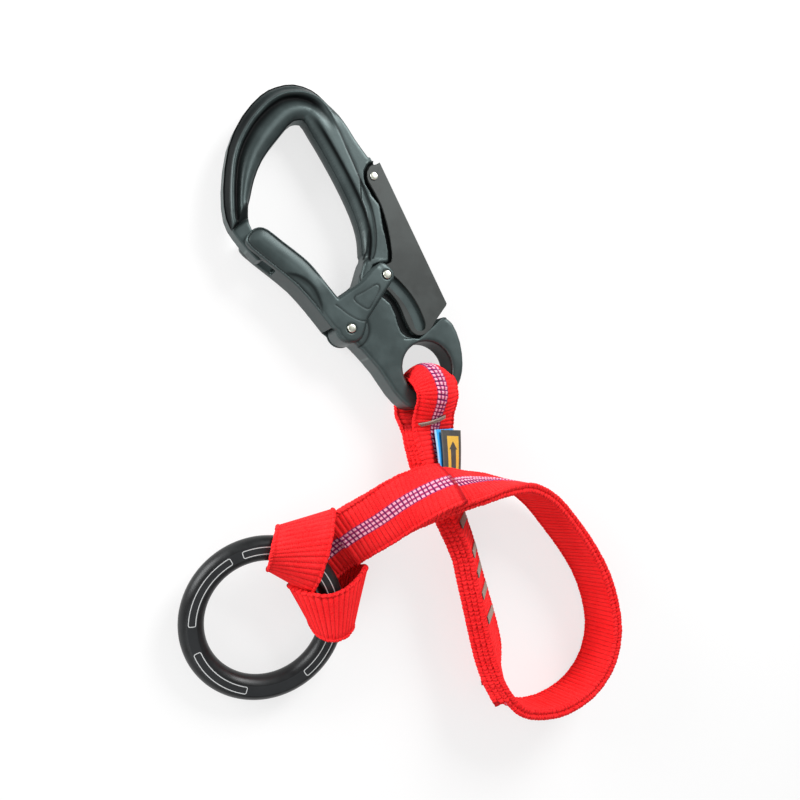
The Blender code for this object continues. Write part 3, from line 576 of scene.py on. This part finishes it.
def buildLabels():
    for node in ("label_blue", "label_black"):
        facts = labels[node]
        one, two, three, four = (np.array(c) for c in facts["corners"])
        normal = unit(np.cross(two - one, one - three))
        bm = bmesh.new()
        sheet = bm.loops.layers.uv.new("cloth")
        bmesh.ops.create_grid(bm, x_segments=24, y_segments=40, size=1)
        wide, long = length(two - one), length(three - one)
        for vert in bm.verts:
            a, b = (vert.co.x + 1) / 2, (vert.co.y + 1) / 2
            place = (one * (1 - a) + two * a) * (1 - b) + (three * (1 - a) + four * a) * b
            curl = labels["bow"] * math.sin(math.pi * b) + labels["curl"] * (2 * a - 1) ** 2 * (1 - b)
            vert.co = (place - shift - normal * (facts["thick"] / 2 - curl)) * mm
            for corner in vert.link_loops:
                corner[sheet].uv = ((a - 0.5) * wide, b * long)
        bmesh.ops.recalc_face_normals(bm, faces=bm.faces)
        made = toObject(bm, facts["made"], tapeFinish(facts["finish"], facts), "sling", node)
        wall = facts["thick"] * mm * 0.8
        addModifier(made, "cloth", "SOLIDIFY", {"thickness": wall, "offset": 0, "use_rim": True})
        addModifier(made, "worn rim", "BEVEL", {"width": labels["worn"] * mm, "segments": 2})
    print("labels placed")


def standing(x, y, z, place):
    made = Matrix((x, y, z)).transposed().to_4x4()
    made.translation = place
    return made


# Ring, spun about its own axis and then tilted as it lies
def buildRing(look):
    bar, high = ring["bar"], ring["bar"] - ring["flat"]
    turns = [2 * math.pi * k / ring["sides"] for k in range(ring["sides"])]
    line = [(ring["midRadius"] + bar * math.cos(k), max(min(bar * math.sin(k), high), -high)) for k in turns]
    bm = spunShape(line, ring["steps"], closed=True)
    sheet = bm.loops.layers.uv.new("cloth")
    for skin in bm.faces:
        middle = skin.calc_center_median()
        here = math.atan2(middle.y, middle.x)
        for corner in skin.loops:
            p = corner.vert.co
            turn = math.atan2(p.y, p.x)
            turn += 2 * math.pi * round((here - turn) / (2 * math.pi))
            turn = math.degrees(turn) % 360 if here > 0 else math.degrees(turn) + 360
            corner[sheet].uv = (math.hypot(p.x, p.y) / mm - ring["midRadius"], turn)
    up = Vector(ring["tilt"]).normalized()
    first = Vector((1, 0, 0)).cross(up).cross(up).normalized() * -1
    placed = standing(first, up.cross(first), up, (Vector(ring["centre"]) - Vector(shift)) * mm)
    bmesh.ops.transform(bm, matrix=placed, verts=bm.verts)
    toObject(bm, "ring_turned", look, "ring", "ring")
    print("ring turned")


# Hook: forged pieces start from the frame's own solids, are melted to an even skin, and are then shaped
pivots = {"gate": (-38.0, 15.4), "lever": (-27.0, 86.6), "pin": (-21.3, 41.1)}
hook = {
    "voxel": 0.48, "thick": 7.0, "melt": 2,
    "groove": [(-89, 63.5), (-89.5, 69.3), (-89.4, 76.3), (-88.7, 84.6), (-85.6, 97), (-80, 107.5),
        (-72.9, 114.2), (-65.7, 117), (-59.6, 116.6), (-53.6, 113), (-49.6, 108.8), (-45.1, 102.3),
        (-40.6, 95), (-35.7, 85.4), (-30.6, 74), (-27.6, 65), (-26.6, 56.5), (-27, 50.4)],
    "ridge": [(-89.4, 56), (-90.2, 60.5), (-90.6, 65.7), (-90.8, 71), (-90.6, 79), (-89.9, 86), (-88, 93.2),
        (-85.2, 99.6), (-82.1, 105), (-77.9, 110.6), (-74.2, 114.5), (-69.9, 117.7), (-64.5, 119.6),
        (-59.5, 120.1), (-55, 119.2), (-51.6, 117.2), (-48.4, 113.5), (-45.8, 108.9), (-42.9, 103.7),
        (-40, 97.4), (-37.1, 91.7), (-34.6, 86.4), (-32.2, 82), (-30.1, 77), (-27.6, 70.6), (-26.1, 63.5),
        (-25.7, 57.2), (-26.2, 51.6), (-27.4, 48)],
    "flankDrop": 2.0, "rimDrop": 1.7, "valleyDrop": 2.7, "beadDrop": 0.9, "roundDrop": 3.8,
    "channelFrom": 86.5, "channelTo": 48.6, "channelTaper": 12, "channelWide": 3.2, "channelDepth": 0.9,
    "channelRight": -45, "lineHalf": 0.4, "sunkFrom": 4.7, "bellyLeft": 1.2, "bellyRight": 2.3,
    "eyeWall": 13.2, "shoulderWide": 3.3,
    "facet": {"from": (-90.6, 54.6), "to": (-83.5, 61.2), "reach": 5.0, "drop": 2.6},
    "knuckle": {"radius": 8.9, "depth": 0.45},
    "shoulder": [(-32.8, 37.5), (-33, 42.2), (-31.6, 45.9), (-29.5, 48.1)],
    "pocket": [(-24, 98), (16, 40), (12, 28), (5.6, 22.4), (-4.4, 13.4), (-13.8, 12.8), (-24.9, 31.6),
        (-28, 36), (-28.6, 41), (-27, 46), (-22.4, 49.2), (-20.6, 54), (-24, 73.6), (-32.2, 82.6),
        (-33.2, 87.4), (-31.4, 91.8), (-28, 94.6)],
    "opening": [(-21, 95), (16, 40), (12, 28), (5.6, 22.4), (-4.4, 13), (-9.9, 13.6), (-12.9, 15.5),
        (-14.8, 19.4), (-16.2, 24), (-18.6, 28.6), (-24, 32.6), (-28, 36), (-28.6, 41), (-27.4, 45.4),
        (-24, 46.7), (-20.6, 46.9), (-19.7, 48.4), (-19.8, 53), (-20.9, 57.5), (-22.4, 63.2), (-24.3, 68.8),
        (-26.4, 74.3), (-28.9, 79.3), (-30.8, 82.2), (-31.6, 85.6), (-31.4, 88.6), (-29.8, 91.9),
        (-26.4, 94.2), (-24, 94.4)],
    "gap": [(-9.9, 11), (-18, 12), (-24, 34), (-19, 33), (-15.6, 29.7), (-13.4, 26), (-11.8, 22.4),
        (-9.8, 18.4), (-7.5, 15.5), (-4, 14.9), (-1, 16), (5, 22), (4, 10)],
}
gate = {
    "voxel": 0.34, "melt": 3, "thick": 9.0, "recessDepth": 1.1, "lineDepth": 0.16, "crown": 1.1,
    "crownReach": 5.0,
    "recess": [(-70.8, 37.9), (-65.7, 38.2), (-61.6, 37.4), (-57.5, 35.2), (-54.4, 32.2), (-52.2, 28),
        (-51, 23.6), (-52.1, 19.9), (-57.4, 24.8), (-63.6, 30.4), (-68.4, 34.6)],
    "panel": [(-36.9, 28.6), (-35.4, 27), (-31.6, 24.9), (-29.9, 24.9), (-28.4, 27), (-25.2, 33.2),
        (-24.9, 35.2), (-25.9, 36.1), (-27.4, 35.6), (-32.3, 32.3), (-36.2, 30)],
    "step": [(-45.4, 25.3), (-43.5, 24.2), (-38.7, 21.1), (-33.8, 19.2), (-30.6, 19.4), (-28.8, 21.4)],
    "dimpleRadius": 2.6, "end": {"along": (0.84, 0.54), "out": 2.2},
}
trigger = {
    "cheek": [(-24.1, 93.5), (9.6, 30.7), (9.2, 29.6), (4.4, 22.9), (1.5, 18.4), (-1.4, 15.7), (-4.3, 14.8),
        (-7.3, 15.7), (-9.6, 18.4), (-11.6, 22.4), (-13.2, 26), (-15.4, 29.7), (-18.8, 33.4), (-22.6, 36.4),
        (-24.8, 38.6), (-25.5, 41.4), (-24.4, 44.4), (-21.6, 46.1), (-19.5, 46.9), (-18, 48.5),
        (-17.9, 52.1), (-18.5, 56.6), (-19.6, 62.3), (-21.2, 68), (-23.3, 73.6), (-26.1, 78.5),
        (-28.5, 82.2), (-29.8, 84.7), (-30.1, 87.3), (-29.8, 89.1), (-28.3, 91.4), (-25.8, 92.3)],
    "slotSpan": 51.0, "slotShare": 0.065, "slotSteps": 24, "slotHalf": 2.9, "slotAside": (-0.4, -0.2),
    "bore": 1.7, "cheekIn": 5.4, "cheekOut": 6.9, "web": 1.5, "webLap": 0.4, "edge": 0.3,
}


def meltedCopy(node, voxelMm):
    bm = bmesh.new()
    bm.from_mesh(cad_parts[node].data)
    bmesh.ops.remove_doubles(bm, verts=bm.verts, dist=0.001 * mm)
    raw = newObject(node + "_raw", toMesh(bm, node + "_raw"))
    addModifier(raw, "melt", "REMESH", {"mode": "VOXEL", "voxel_size": voxelMm * mm})
    bpy.context.view_layer.update()
    melted = bpy.data.meshes.new_from_object(raw.evaluated_get(bpy.context.evaluated_depsgraph_get()))
    bpy.data.objects.remove(raw)
    found = bmesh.new()
    found.from_mesh(melted)
    bpy.data.meshes.remove(melted)
    return found


def soften(bm, passes):
    for _ in range(passes):
        bmesh.ops.smooth_vert(bm, verts=bm.verts, factor=0.5, **{f"use_axis_{k}": True for k in "xyz"})


# The pieces of the hook are shaped about its eye
def onHook(bm):
    return np.array([v.co for v in bm.verts]) / mm + shift - hookPlace


def offHook(place):
    return (place + hookPlace - shift) * mm


def smoothStep(value, low, high):
    t = np.clip((value - low) / (high - low), 0, 1)
    return t * t * (3 - 2 * t)


def fade(value, low, high):
    return 1 - smoothStep(value, low, high)


def nearest(points, wanted):
    tree = kdtree.KDTree(len(points))
    for i, p in enumerate(points):
        tree.insert((p[0], p[1], 0), i)
    tree.balance()
    found = [tree.find((p[0], p[1], 0)) for p in wanted]
    return np.array([f[1] for f in found]), np.array([f[2] for f in found])


def distance(points, wanted):
    return nearest(points, wanted)[1]


def ridged(away, half):
    return np.exp(-(away / half) ** 2)


def roundedEdge(away, reach):
    return 1 - np.sqrt(np.clip(1 - (1 - np.clip(away / reach, 0, 1)) ** 2, 0, 1))


def insidePolygon(points, outline):
    inside = np.zeros(len(points), bool)
    for (x1, y1), (x2, y2) in zip(outline, np.roll(outline, -1, axis=0)):
        crosses = (y1 > points[:, 1]) != (y2 > points[:, 1])
        inside ^= crosses & (points[:, 0] < x1 + (points[:, 1] - y1) * (x2 - x1) / (y2 - y1 + (y1 == y2)))
    return inside


# For each point the nearest step of a line, how far out to the line's left it lies, and how far past that step
def besideLine(points, line, along):
    index, _ = nearest(line, points)
    gap, way = points[:, :2] - line[index], along[index]
    return index, gap[:, 1] * way[:, 0] - gap[:, 0] * way[:, 1], np.abs(np.sum(gap * way, axis=1))


# The bow's section: a rim, a thin ridge, a deep valley and a round bead inside. On the back they turn to a flat
# face and an inner shoulder, where a channel runs down beside the lever. Its shade is painted on as well.
def shapeBow(bm):
    hollow = bm.verts.layers.float.new("hollow")
    place = onHook(bm)
    normal = np.array([v.normal for v in bm.verts])
    wall = place[(np.abs(place[:, 2]) < 1.2) & (np.abs(normal[:, 2]) < 0.4)]
    high = np.nonzero(np.abs(place[:, 2]) > 2.5)[0]
    spot, tall = place[high, :2], np.abs(place[high, 2])
    x, y = spot.T
    pocket, opening = (np.array(hook[k]) for k in ("pocket", "opening"))
    away = distance(smoothLine(list(pocket) + [pocket[0]], 12), spot)
    groove = distance(smoothLine(hook["groove"], 12), spot)
    bare = insidePolygon(spot, opening)
    filled = (insidePolygon(spot, pocket) | (away < 1.2)) & ~bare & (tall > hook["sunkFrom"])
    filled |= (groove < 2.1) & (tall > 5.8) & ~bare
    tall = np.where(filled, hook["thick"], tall)

    line = smoothLine(hook["ridge"], 20)
    along = unit(np.gradient(line, axis=0))
    _, side, _ = besideLine(wall, line, along)
    edgeIn, edgeOut = (distance(wall[k], spot) for k in (side < 0, side > 0))
    index, out, slide = besideLine(spot, line, along)
    share = index / (len(line) - 1)
    inBow = fade(slide, 0.5, 2.5) * fade(np.abs(out + 4), 9, 13)
    broad = fade(share, 0.5, 0.64)
    inside, deep = out < 0, np.maximum(-out, 0)
    crest = np.maximum(0.6 * (deep + edgeIn), 3.4)
    valley, beadTop = hook["valleyDrop"], hook["beadDrop"]
    bowl = valley * smoothStep(deep, 0, 1.5) - (valley - beadTop) * smoothStep(deep, 2.0, crest)
    bead = bowl + hook["roundDrop"] * roundedEdge(edgeIn, np.maximum(0.36 * (deep + edgeIn), 2.0))
    flank = hook["flankDrop"] * smoothStep(out, 0.3, 2.6)
    flank = flank + hook["rimDrop"] * (1 - np.clip(edgeOut / 2.4, 0, 1)) ** 1.5
    plain = np.where(inside, hook["roundDrop"] * roundedEdge(edgeIn, hook["shoulderWide"]),
                     0.5 * (1 - np.clip(edgeOut / 0.9, 0, 1)) ** 2 * (y > 90))
    crease = ridged(out, hook["lineHalf"]) * smoothStep(y, 84, 88)
    start, stop = hook["channelFrom"], hook["channelTo"]
    beside = (y < start) & (x > hook["channelRight"])
    wide = hook["channelWide"] * fade(y, start - hook["channelTaper"], start)
    channel = smoothStep(deep, -0.1, 0.4) * fade(deep, wide - 0.4, wide + 0.1) * (beside & (y > stop))
    plain = plain + 0.2 * crease + hook["channelDepth"] * channel
    drop = broad * np.where(inside, bead, flank) + (1 - broad) * plain
    upper = smoothStep(tall, 3.0, 6.0)

    # Painted shade in the valley, on the outer flank, on the bead's inner edge, on the inner shoulder and along
    # the channel and crease
    shaded = np.where(inside, smoothStep(deep, 0.15, 1.1) * fade(deep, 1.9, crest * 0.92),
                      smoothStep(out, 0.5, 1.5) * (0.55 + 0.4 * fade(share, 0.25, 0.45)))
    inChannel = beside & (y > stop - 0.6)
    lines = [0.9 * inChannel * ridged(out + k, 0.38) for k in (0.05, wide - 0.05)]
    lines.append(crease * 0.8)
    shoulder = inside * (0.12 + 0.88 * smoothStep(edgeIn, 0.8, 1.9)) * fade(edgeIn, 2.3, 3.3) * (tall > 3.2)
    shoulder = np.maximum(shoulder, np.max(lines, axis=0))
    dark = np.maximum(broad * shaded, (1 - broad) * shoulder) * inBow
    dark = np.maximum(dark, 0.6 * broad * inBow * inside * fade(edgeIn, 0.3, 1.0) * (tall > 3.4))

    facet = hook["facet"]
    first, last = (np.array(facet[k]) for k in ("from", "to"))
    way = unit(last - first)
    ahead = (spot - first) @ way / length(last - first)
    beyond = (spot - first) @ np.array((-way[1], way[0]))
    reach = facet["reach"] * np.clip(ahead, 0, 1.2) + 0.3
    cut = (1 - np.clip(beyond / reach, 0, 1)) * (beyond > -0.4) * (ahead > -0.1) * (ahead < 1.4)
    drop = drop * inBow
    before = (beyond < 0) & (x < -70) & (y < 66)
    drop = np.where(before, 0, np.maximum(drop * (1 - cut), facet["drop"] * cut)) * upper
    # Painted shade on the cut facet
    dark = np.where(before, 0, np.maximum(dark, 0.9 * smoothStep(cut, 0.0, 0.25) * upper))

    knuckle = hook["knuckle"]
    away = length(spot - pivots["gate"]) - knuckle["radius"]
    fine = ridged(away, hook["lineHalf"]) * (x > -36.5) * (y < 24)
    away = distance(smoothLine(hook["shoulder"], 16), spot)
    fine = np.maximum(fine, ridged(away, hook["lineHalf"])) * upper
    drop = drop + knuckle["depth"] * fine
    # Painted shade along the engraved lines
    dark = np.maximum(dark, 0.8 * fine)
    # Painted shade: the bare recess floor beside the lever, near black
    floor = (tall > hook["sunkFrom"]) & (tall < 6.4) & bare
    floor &= (y > 46) | insidePolygon(spot, np.array(hook["gap"]))
    dark = np.maximum(dark, 0.95 * floor)

    place[high, 2] = np.sign(place[high, 2]) * (tall - drop)

    index, out, slide = besideLine(place, line, along)
    near = (out < 0) * fade(distance(wall[side < 0], place), 0.2, 2.2) * fade(slide, 0.5, 2.5)
    near = near * (place[:, 1] > 50)
    share = index / (len(line) - 1)
    belly = hook["bellyLeft"] * smoothStep(share, 0.05, 0.12) * fade(share, 0.28, 0.42)
    belly += hook["bellyRight"] * smoothStep(share, 0.5, 0.62) * (1 - 0.6 * smoothStep(share, 0.9, 1.0))
    bulge = np.clip(1 - (place[:, 2] / hook["thick"]) ** 2, 0, 1)
    inward = np.stack([along[index, 1], -along[index, 0]], axis=1)
    place[:, :2] += inward * (belly * near * bulge)[:, None]
    steep = np.abs(normal[:, 2])
    # Painted shade on the inner walls of the bow and on the wall of the eye
    shade = 0.4 * near * (steep < 0.7) * smoothStep(share, 0.45, 0.6)
    shade = np.maximum(shade, 0.75 * (length(place[:, :2]) < hook["eyeWall"]) * (steep < 0.6))
    shade[high] = np.maximum(shade[high], dark)
    for vert, p, value in zip(bm.verts, offHook(place), shade):
        vert.co = p
        vert[hollow] = value


# The gate's faces: a thumb recess, the blank panel and the step across its arm, and a dimple round each rivet.
# Shade is painted in the recess, along the lines, on the end's crown, round the rivets and on all its walls.
def shapeGate(bm):
    hollow = bm.verts.layers.float.new("hollow")
    place = onHook(bm)
    face = np.nonzero(np.abs(place[:, 2]) > gate["thick"] - 0.6)[0]
    spot = place[face, :2]
    recess, panel = (smoothLine(gate[k] + gate[k][:1], 8) for k in ("recess", "panel"))
    away = distance(recess, spot)
    inside = insidePolygon(spot, recess)
    upper = smoothStep(spot @ np.array((0.67, 0.74)), -22.5, -15.5)
    depth = gate["recessDepth"] * np.where(inside, smoothStep(away, 0, 0.8 + 1.6 * upper), 0)
    dark = np.where(inside, 0.8 * upper * ridged(away - 0.9, 0.9), 0)
    fine = np.maximum(*(ridged(distance(k, spot), 0.3) for k in (panel, smoothLine(gate["step"], 16))))
    depth = depth + gate["lineDepth"] * fine
    wall = place[(np.abs(place[:, 2]) > 7.6) & (np.abs(place[:, 2]) < 8.2)]
    crown = fade(spot[:, 0], -56, -48) * (1 - np.clip(distance(wall, spot) / gate["crownReach"], 0, 1)) ** 2
    depth = np.maximum(depth, gate["crown"] * crown)
    for centre in (pivots["gate"], pivots["pin"]):
        away = length(spot - centre)
        depth = depth + 0.3 * fade(away, 2.2, gate["dimpleRadius"])
        dark = np.maximum(dark, 0.5 * fade(away, 2.1, gate["dimpleRadius"]))
    place[face, 2] -= np.sign(place[face, 2]) * depth
    way = np.array(gate["end"]["along"])
    across = np.array((-way[1], way[0]))
    ahead, beside = ((place[:, :2] - pivots["pin"]) @ k for k in (way, across))
    bump = gate["end"]["out"] * smoothStep(ahead, -15, -3) * (1 - 0.5 * smoothStep(ahead, 0, 4))
    bump = bump * smoothStep(beside, 0.4, 3.2) * smoothStep(np.hypot(ahead, beside), 2.5, 3.6)
    place[:, :2] += bump[:, None] * across
    for vert, p in zip(bm.verts, offHook(place)):
        vert.co = p
    bm.verts.ensure_lookup_table()
    # Painted shade on the gate's walls, then on its faces
    for vert in bm.verts:
        vert[hollow] = 0.45 * (abs(vert.normal.z) < 0.5)
    for i, value in zip(face, np.maximum(np.maximum(dark, 0.75 * fine), 0.6 * crown)):
        bm.verts[i][hollow] = value


def aboutPoint(point, centre, degrees):
    turn = Matrix.Rotation(math.radians(degrees), 2)
    return turn @ (Vector(point) - Vector(centre)) + Vector(centre)


def roundEnd(centre, start):
    return [centre + Matrix.Rotation(math.radians(-180 * k / 8), 2) @ start for k in range(1, 8)]


# A flat plate between two heights, from its outline and the outlines of its holes
def plate(bm, outlines, low, high):
    edges = []
    for outline in outlines:
        points = [bm.verts.new((x, y, low)) for x, y in outline]
        edges += [bm.edges.new((points[k - 1], points[k])) for k in range(len(points))]
    filled = bmesh.ops.triangle_fill(bm, edges=edges, use_beauty=True, use_dissolve=False)
    faces = [item for item in filled["geom"] if isinstance(item, bmesh.types.BMFace)]
    raised = bmesh.ops.extrude_face_region(bm, geom=faces)
    verts = [item for item in raised["geom"] if isinstance(item, bmesh.types.BMVert)]
    bmesh.ops.translate(bm, vec=(0, 0, high - low), verts=verts)


# The lever, folded from plate: two cheeks with a slot for the lock pin, joined by a web on the thumb's side
def foldedLever():
    bm = bmesh.new()
    path = []
    last = trigger["slotSteps"]
    for k in range(last + 1):
        opened = trigger["slotSpan"] * k / last
        pin = aboutPoint(pivots["pin"], pivots["gate"], -opened)
        pin = aboutPoint(pin, pivots["lever"], opened * trigger["slotShare"])
        path.append(pin + Vector(trigger["slotAside"]))
    sides = [(path[min(k + 1, last)] - path[max(k - 1, 0)]).normalized().orthogonal() * trigger["slotHalf"]
             for k in range(last + 1)]
    slot = [p + s for p, s in zip(path, sides)] + roundEnd(path[-1], sides[-1])
    slot += [p - s for p, s in zip(path, sides)][::-1] + roundEnd(path[0], -sides[0])
    x, y = pivots["lever"]
    bore = [(x + trigger["bore"] * math.cos(a), y + trigger["bore"] * math.sin(a))
            for a in np.linspace(0, 2 * math.pi, 29)[:-1]]
    corner, low = (Vector(k) for k in trigger["cheek"][:2])
    cheek = trigger["cheek"][:2] + [tuple(p) for p in smoothLine(trigger["cheek"][2:], 4)]
    for side in (-1, 1):
        plate(bm, [cheek, slot, bore], *sorted((trigger["cheekIn"] * side, trigger["cheekOut"] * side)))
    across = (low - corner).normalized().orthogonal() * trigger["web"]
    if (Vector(pivots["lever"]) - corner).dot(across) < 0:
        across = -across
    high = trigger["cheekIn"] + trigger["webLap"]
    plate(bm, [[corner, low, low + across, corner + across]], -high, high)
    bmesh.ops.recalc_face_normals(bm, faces=bm.faces)
    for vert in bm.verts:
        vert.co = offHook(np.array(vert.co))
    return bm


def buildHook(look, leverLook):
    bm = meltedCopy("hook_body", hook["voxel"])
    soften(bm, 2)
    bm.normal_update()
    shapeBow(bm)
    soften(bm, hook["melt"])
    toObject(bm, "forged_body", look, "hook", "hook_body")
    bm = meltedCopy("gate", gate["voxel"])
    soften(bm, gate["melt"])
    shapeGate(bm)
    soften(bm, 1)
    toObject(bm, "forged_gate", look, "gate", "gate")
    lever = toObject(foldedLever(), "folded_lever", leverLook, "trigger", "trigger_lever")
    lever.data.set_sharp_from_angle(angle=math.radians(40))
    addModifier(lever, "broken edges", "BEVEL", {
        "width": trigger["edge"] * mm, "segments": 2, "limit_method": "ANGLE",
        "angle_limit": math.radians(50)})
    print("hook, gate and lever shaped")


# Rivets and lock pins: a shank with a turned head, at both ends of a rivet and at the outer end of a pin
wideRivet = {"shank": 1.75, "head": 1.88, "under": 9.05, "top": 9.8}
slimRivet = {"shank": 1.55, "head": 1.8, "under": 6.95, "top": 7.7}
rivets = {
    "gate_pivot_rivet": {**wideRivet, "place": pivots["gate"], "body": "hook"},
    "trigger_pivot_rivet": {**slimRivet, "place": pivots["lever"], "body": "hook"},
    "lock_pin_front": {**wideRivet, "place": pivots["pin"], "body": "gate", "low": 5.35, "sign": 1},
    "lock_pin_rear": {**wideRivet, "place": pivots["pin"], "body": "gate", "low": 5.35, "sign": -1},
}


def buildRivets(look):
    for node, facts in rivets.items():
        under, top, head, shank = (facts[k] for k in ("under", "top", "head", "shank"))
        line = [(shank, under), (head - 0.12, under), (head, under + 0.12), (head, top - 0.4),
                (head - 0.15, top - 0.2), (head - 0.55, top - 0.06), (head - 1.1, top - 0.01), (0, top)]
        if "low" in facts:
            line = [(r, z * facts["sign"]) for r, z in [(0, facts["low"]), (shank, facts["low"])] + line]
        else:
            line = [(r, -z) for r, z in reversed(line)] + line
        bm = spunShape(line, 48)
        bmesh.ops.translate(bm, vec=offHook(np.array((*facts["place"], 0))), verts=bm.verts)
        made = toObject(bm, node + "_turned", look, facts["body"], node)
        made.data.set_sharp_from_angle(angle=math.radians(35))
    print("rivets turned")


# Camera, floor and lamps
view = {
    "target": (0.0, 0.0, 10.0), "back": (-0.42, -0.10, 1.0), "distance": 390.0, "lens": 38.25, "sensor": 36.0,
}
studio = {
    "floor": "#f6f6f6", "floorGlow": 0.7, "sky": 0.44,
    "lamps": {
        "key": {"place": (360, 540, 470), "size": 380, "power": 6.8},
        "fill": {"place": (-420, -520, 420), "size": 500, "power": 1.2},
        "rim": {"place": (-650, 250, 130), "size": 400, "power": 6.0},
    },
}


def buildStudio():
    scene = bpy.context.scene
    scene.view_settings.view_transform = "Standard"
    back = Vector(view["back"]).normalized()
    right = Vector((0, 1, 0)).cross(back).normalized()
    target = (Vector(view["target"]) - Vector(shift)) * mm
    camera = newObject("camera", bpy.data.cameras.new("camera"))
    camera.matrix_world = standing(right, back.cross(right), back, target + back * view["distance"] * mm)
    camera.data.lens = view["lens"]
    camera.data.sensor_width = view["sensor"]
    camera.data.clip_start = 0.01
    scene.camera = camera

    bm = bmesh.new()
    bmesh.ops.create_grid(bm, x_segments=1, y_segments=1, size=3)
    floor = newObject("floor", toMesh(bm, "floor"))
    floor.location.z = -0.0004
    made, add, shader = newMaterial("white paper", {"Base Color": linear(studio["floor"]), "Roughness": 0.9})
    rays = [add("LightPath", {}, output=f"Is {kind} Ray") for kind in ("Camera", "Glossy", "Transmission")]
    seen = add("Math", most, [rays[0], add("Math", most, rays[1:])])
    glow = add("Emission", {}, [(1, 1, 1, 1), 1.0])
    share = add("Math", times, [seen, studio["floorGlow"]])
    mixed = add("MixShader", {}, [share, shader.outputs[0], glow])
    feed(made.node_tree.nodes["Material Output"], {"Surface": mixed})
    floor.data.materials.append(made)

    scene.world = bpy.data.worlds.new("studio")
    scene.world.use_nodes = True
    feed(scene.world.node_tree.nodes["Background"], {"Color": (1, 1, 1, 1), "Strength": studio["sky"]})

    for name, facts in studio["lamps"].items():
        lamp = bpy.data.lights.new(name, "AREA")
        lamp.energy = facts["power"]
        lamp.size = facts["size"] * mm
        item = newObject(name, lamp)
        item.location = Vector(facts["place"]) * mm
        item.rotation_euler = (item.location - target).to_track_quat("Z", "Y").to_euler()
    print("studio set")


def buildAll():
    buildStudio()
    # Each finish's last colour is the near black of painted shade
    forged = {"base": "#3c4747", "tint": "#455151", "rubbed": "#7d8a87", "hollow": "#07090a"}
    folded = {"base": "#363938", "tint": "#3e4241", "rubbed": "#747b7a", "hollow": "#0c0e0f"}
    steel = steelFinish("turned stainless steel")
    buildHook(anodisedFinish("blasted anodised aluminium", forged, 0.42, 0.3),
              anodisedFinish("anodised sheet aluminium", folded, 0.46, 0.35))
    buildRivets(steel)
    for node in ("gate_spring", "trigger_spring"):
        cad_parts[node].data.materials.clear()
        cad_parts[node].data.materials.append(steel)
    buildRing(ringFinish("black anodised ring"))
    buildWebbing(webbingFinish("ribbed polyester webbing"))
    buildTacks(threadFinish("bonded nylon thread"))
    buildLabels()


buildAll()
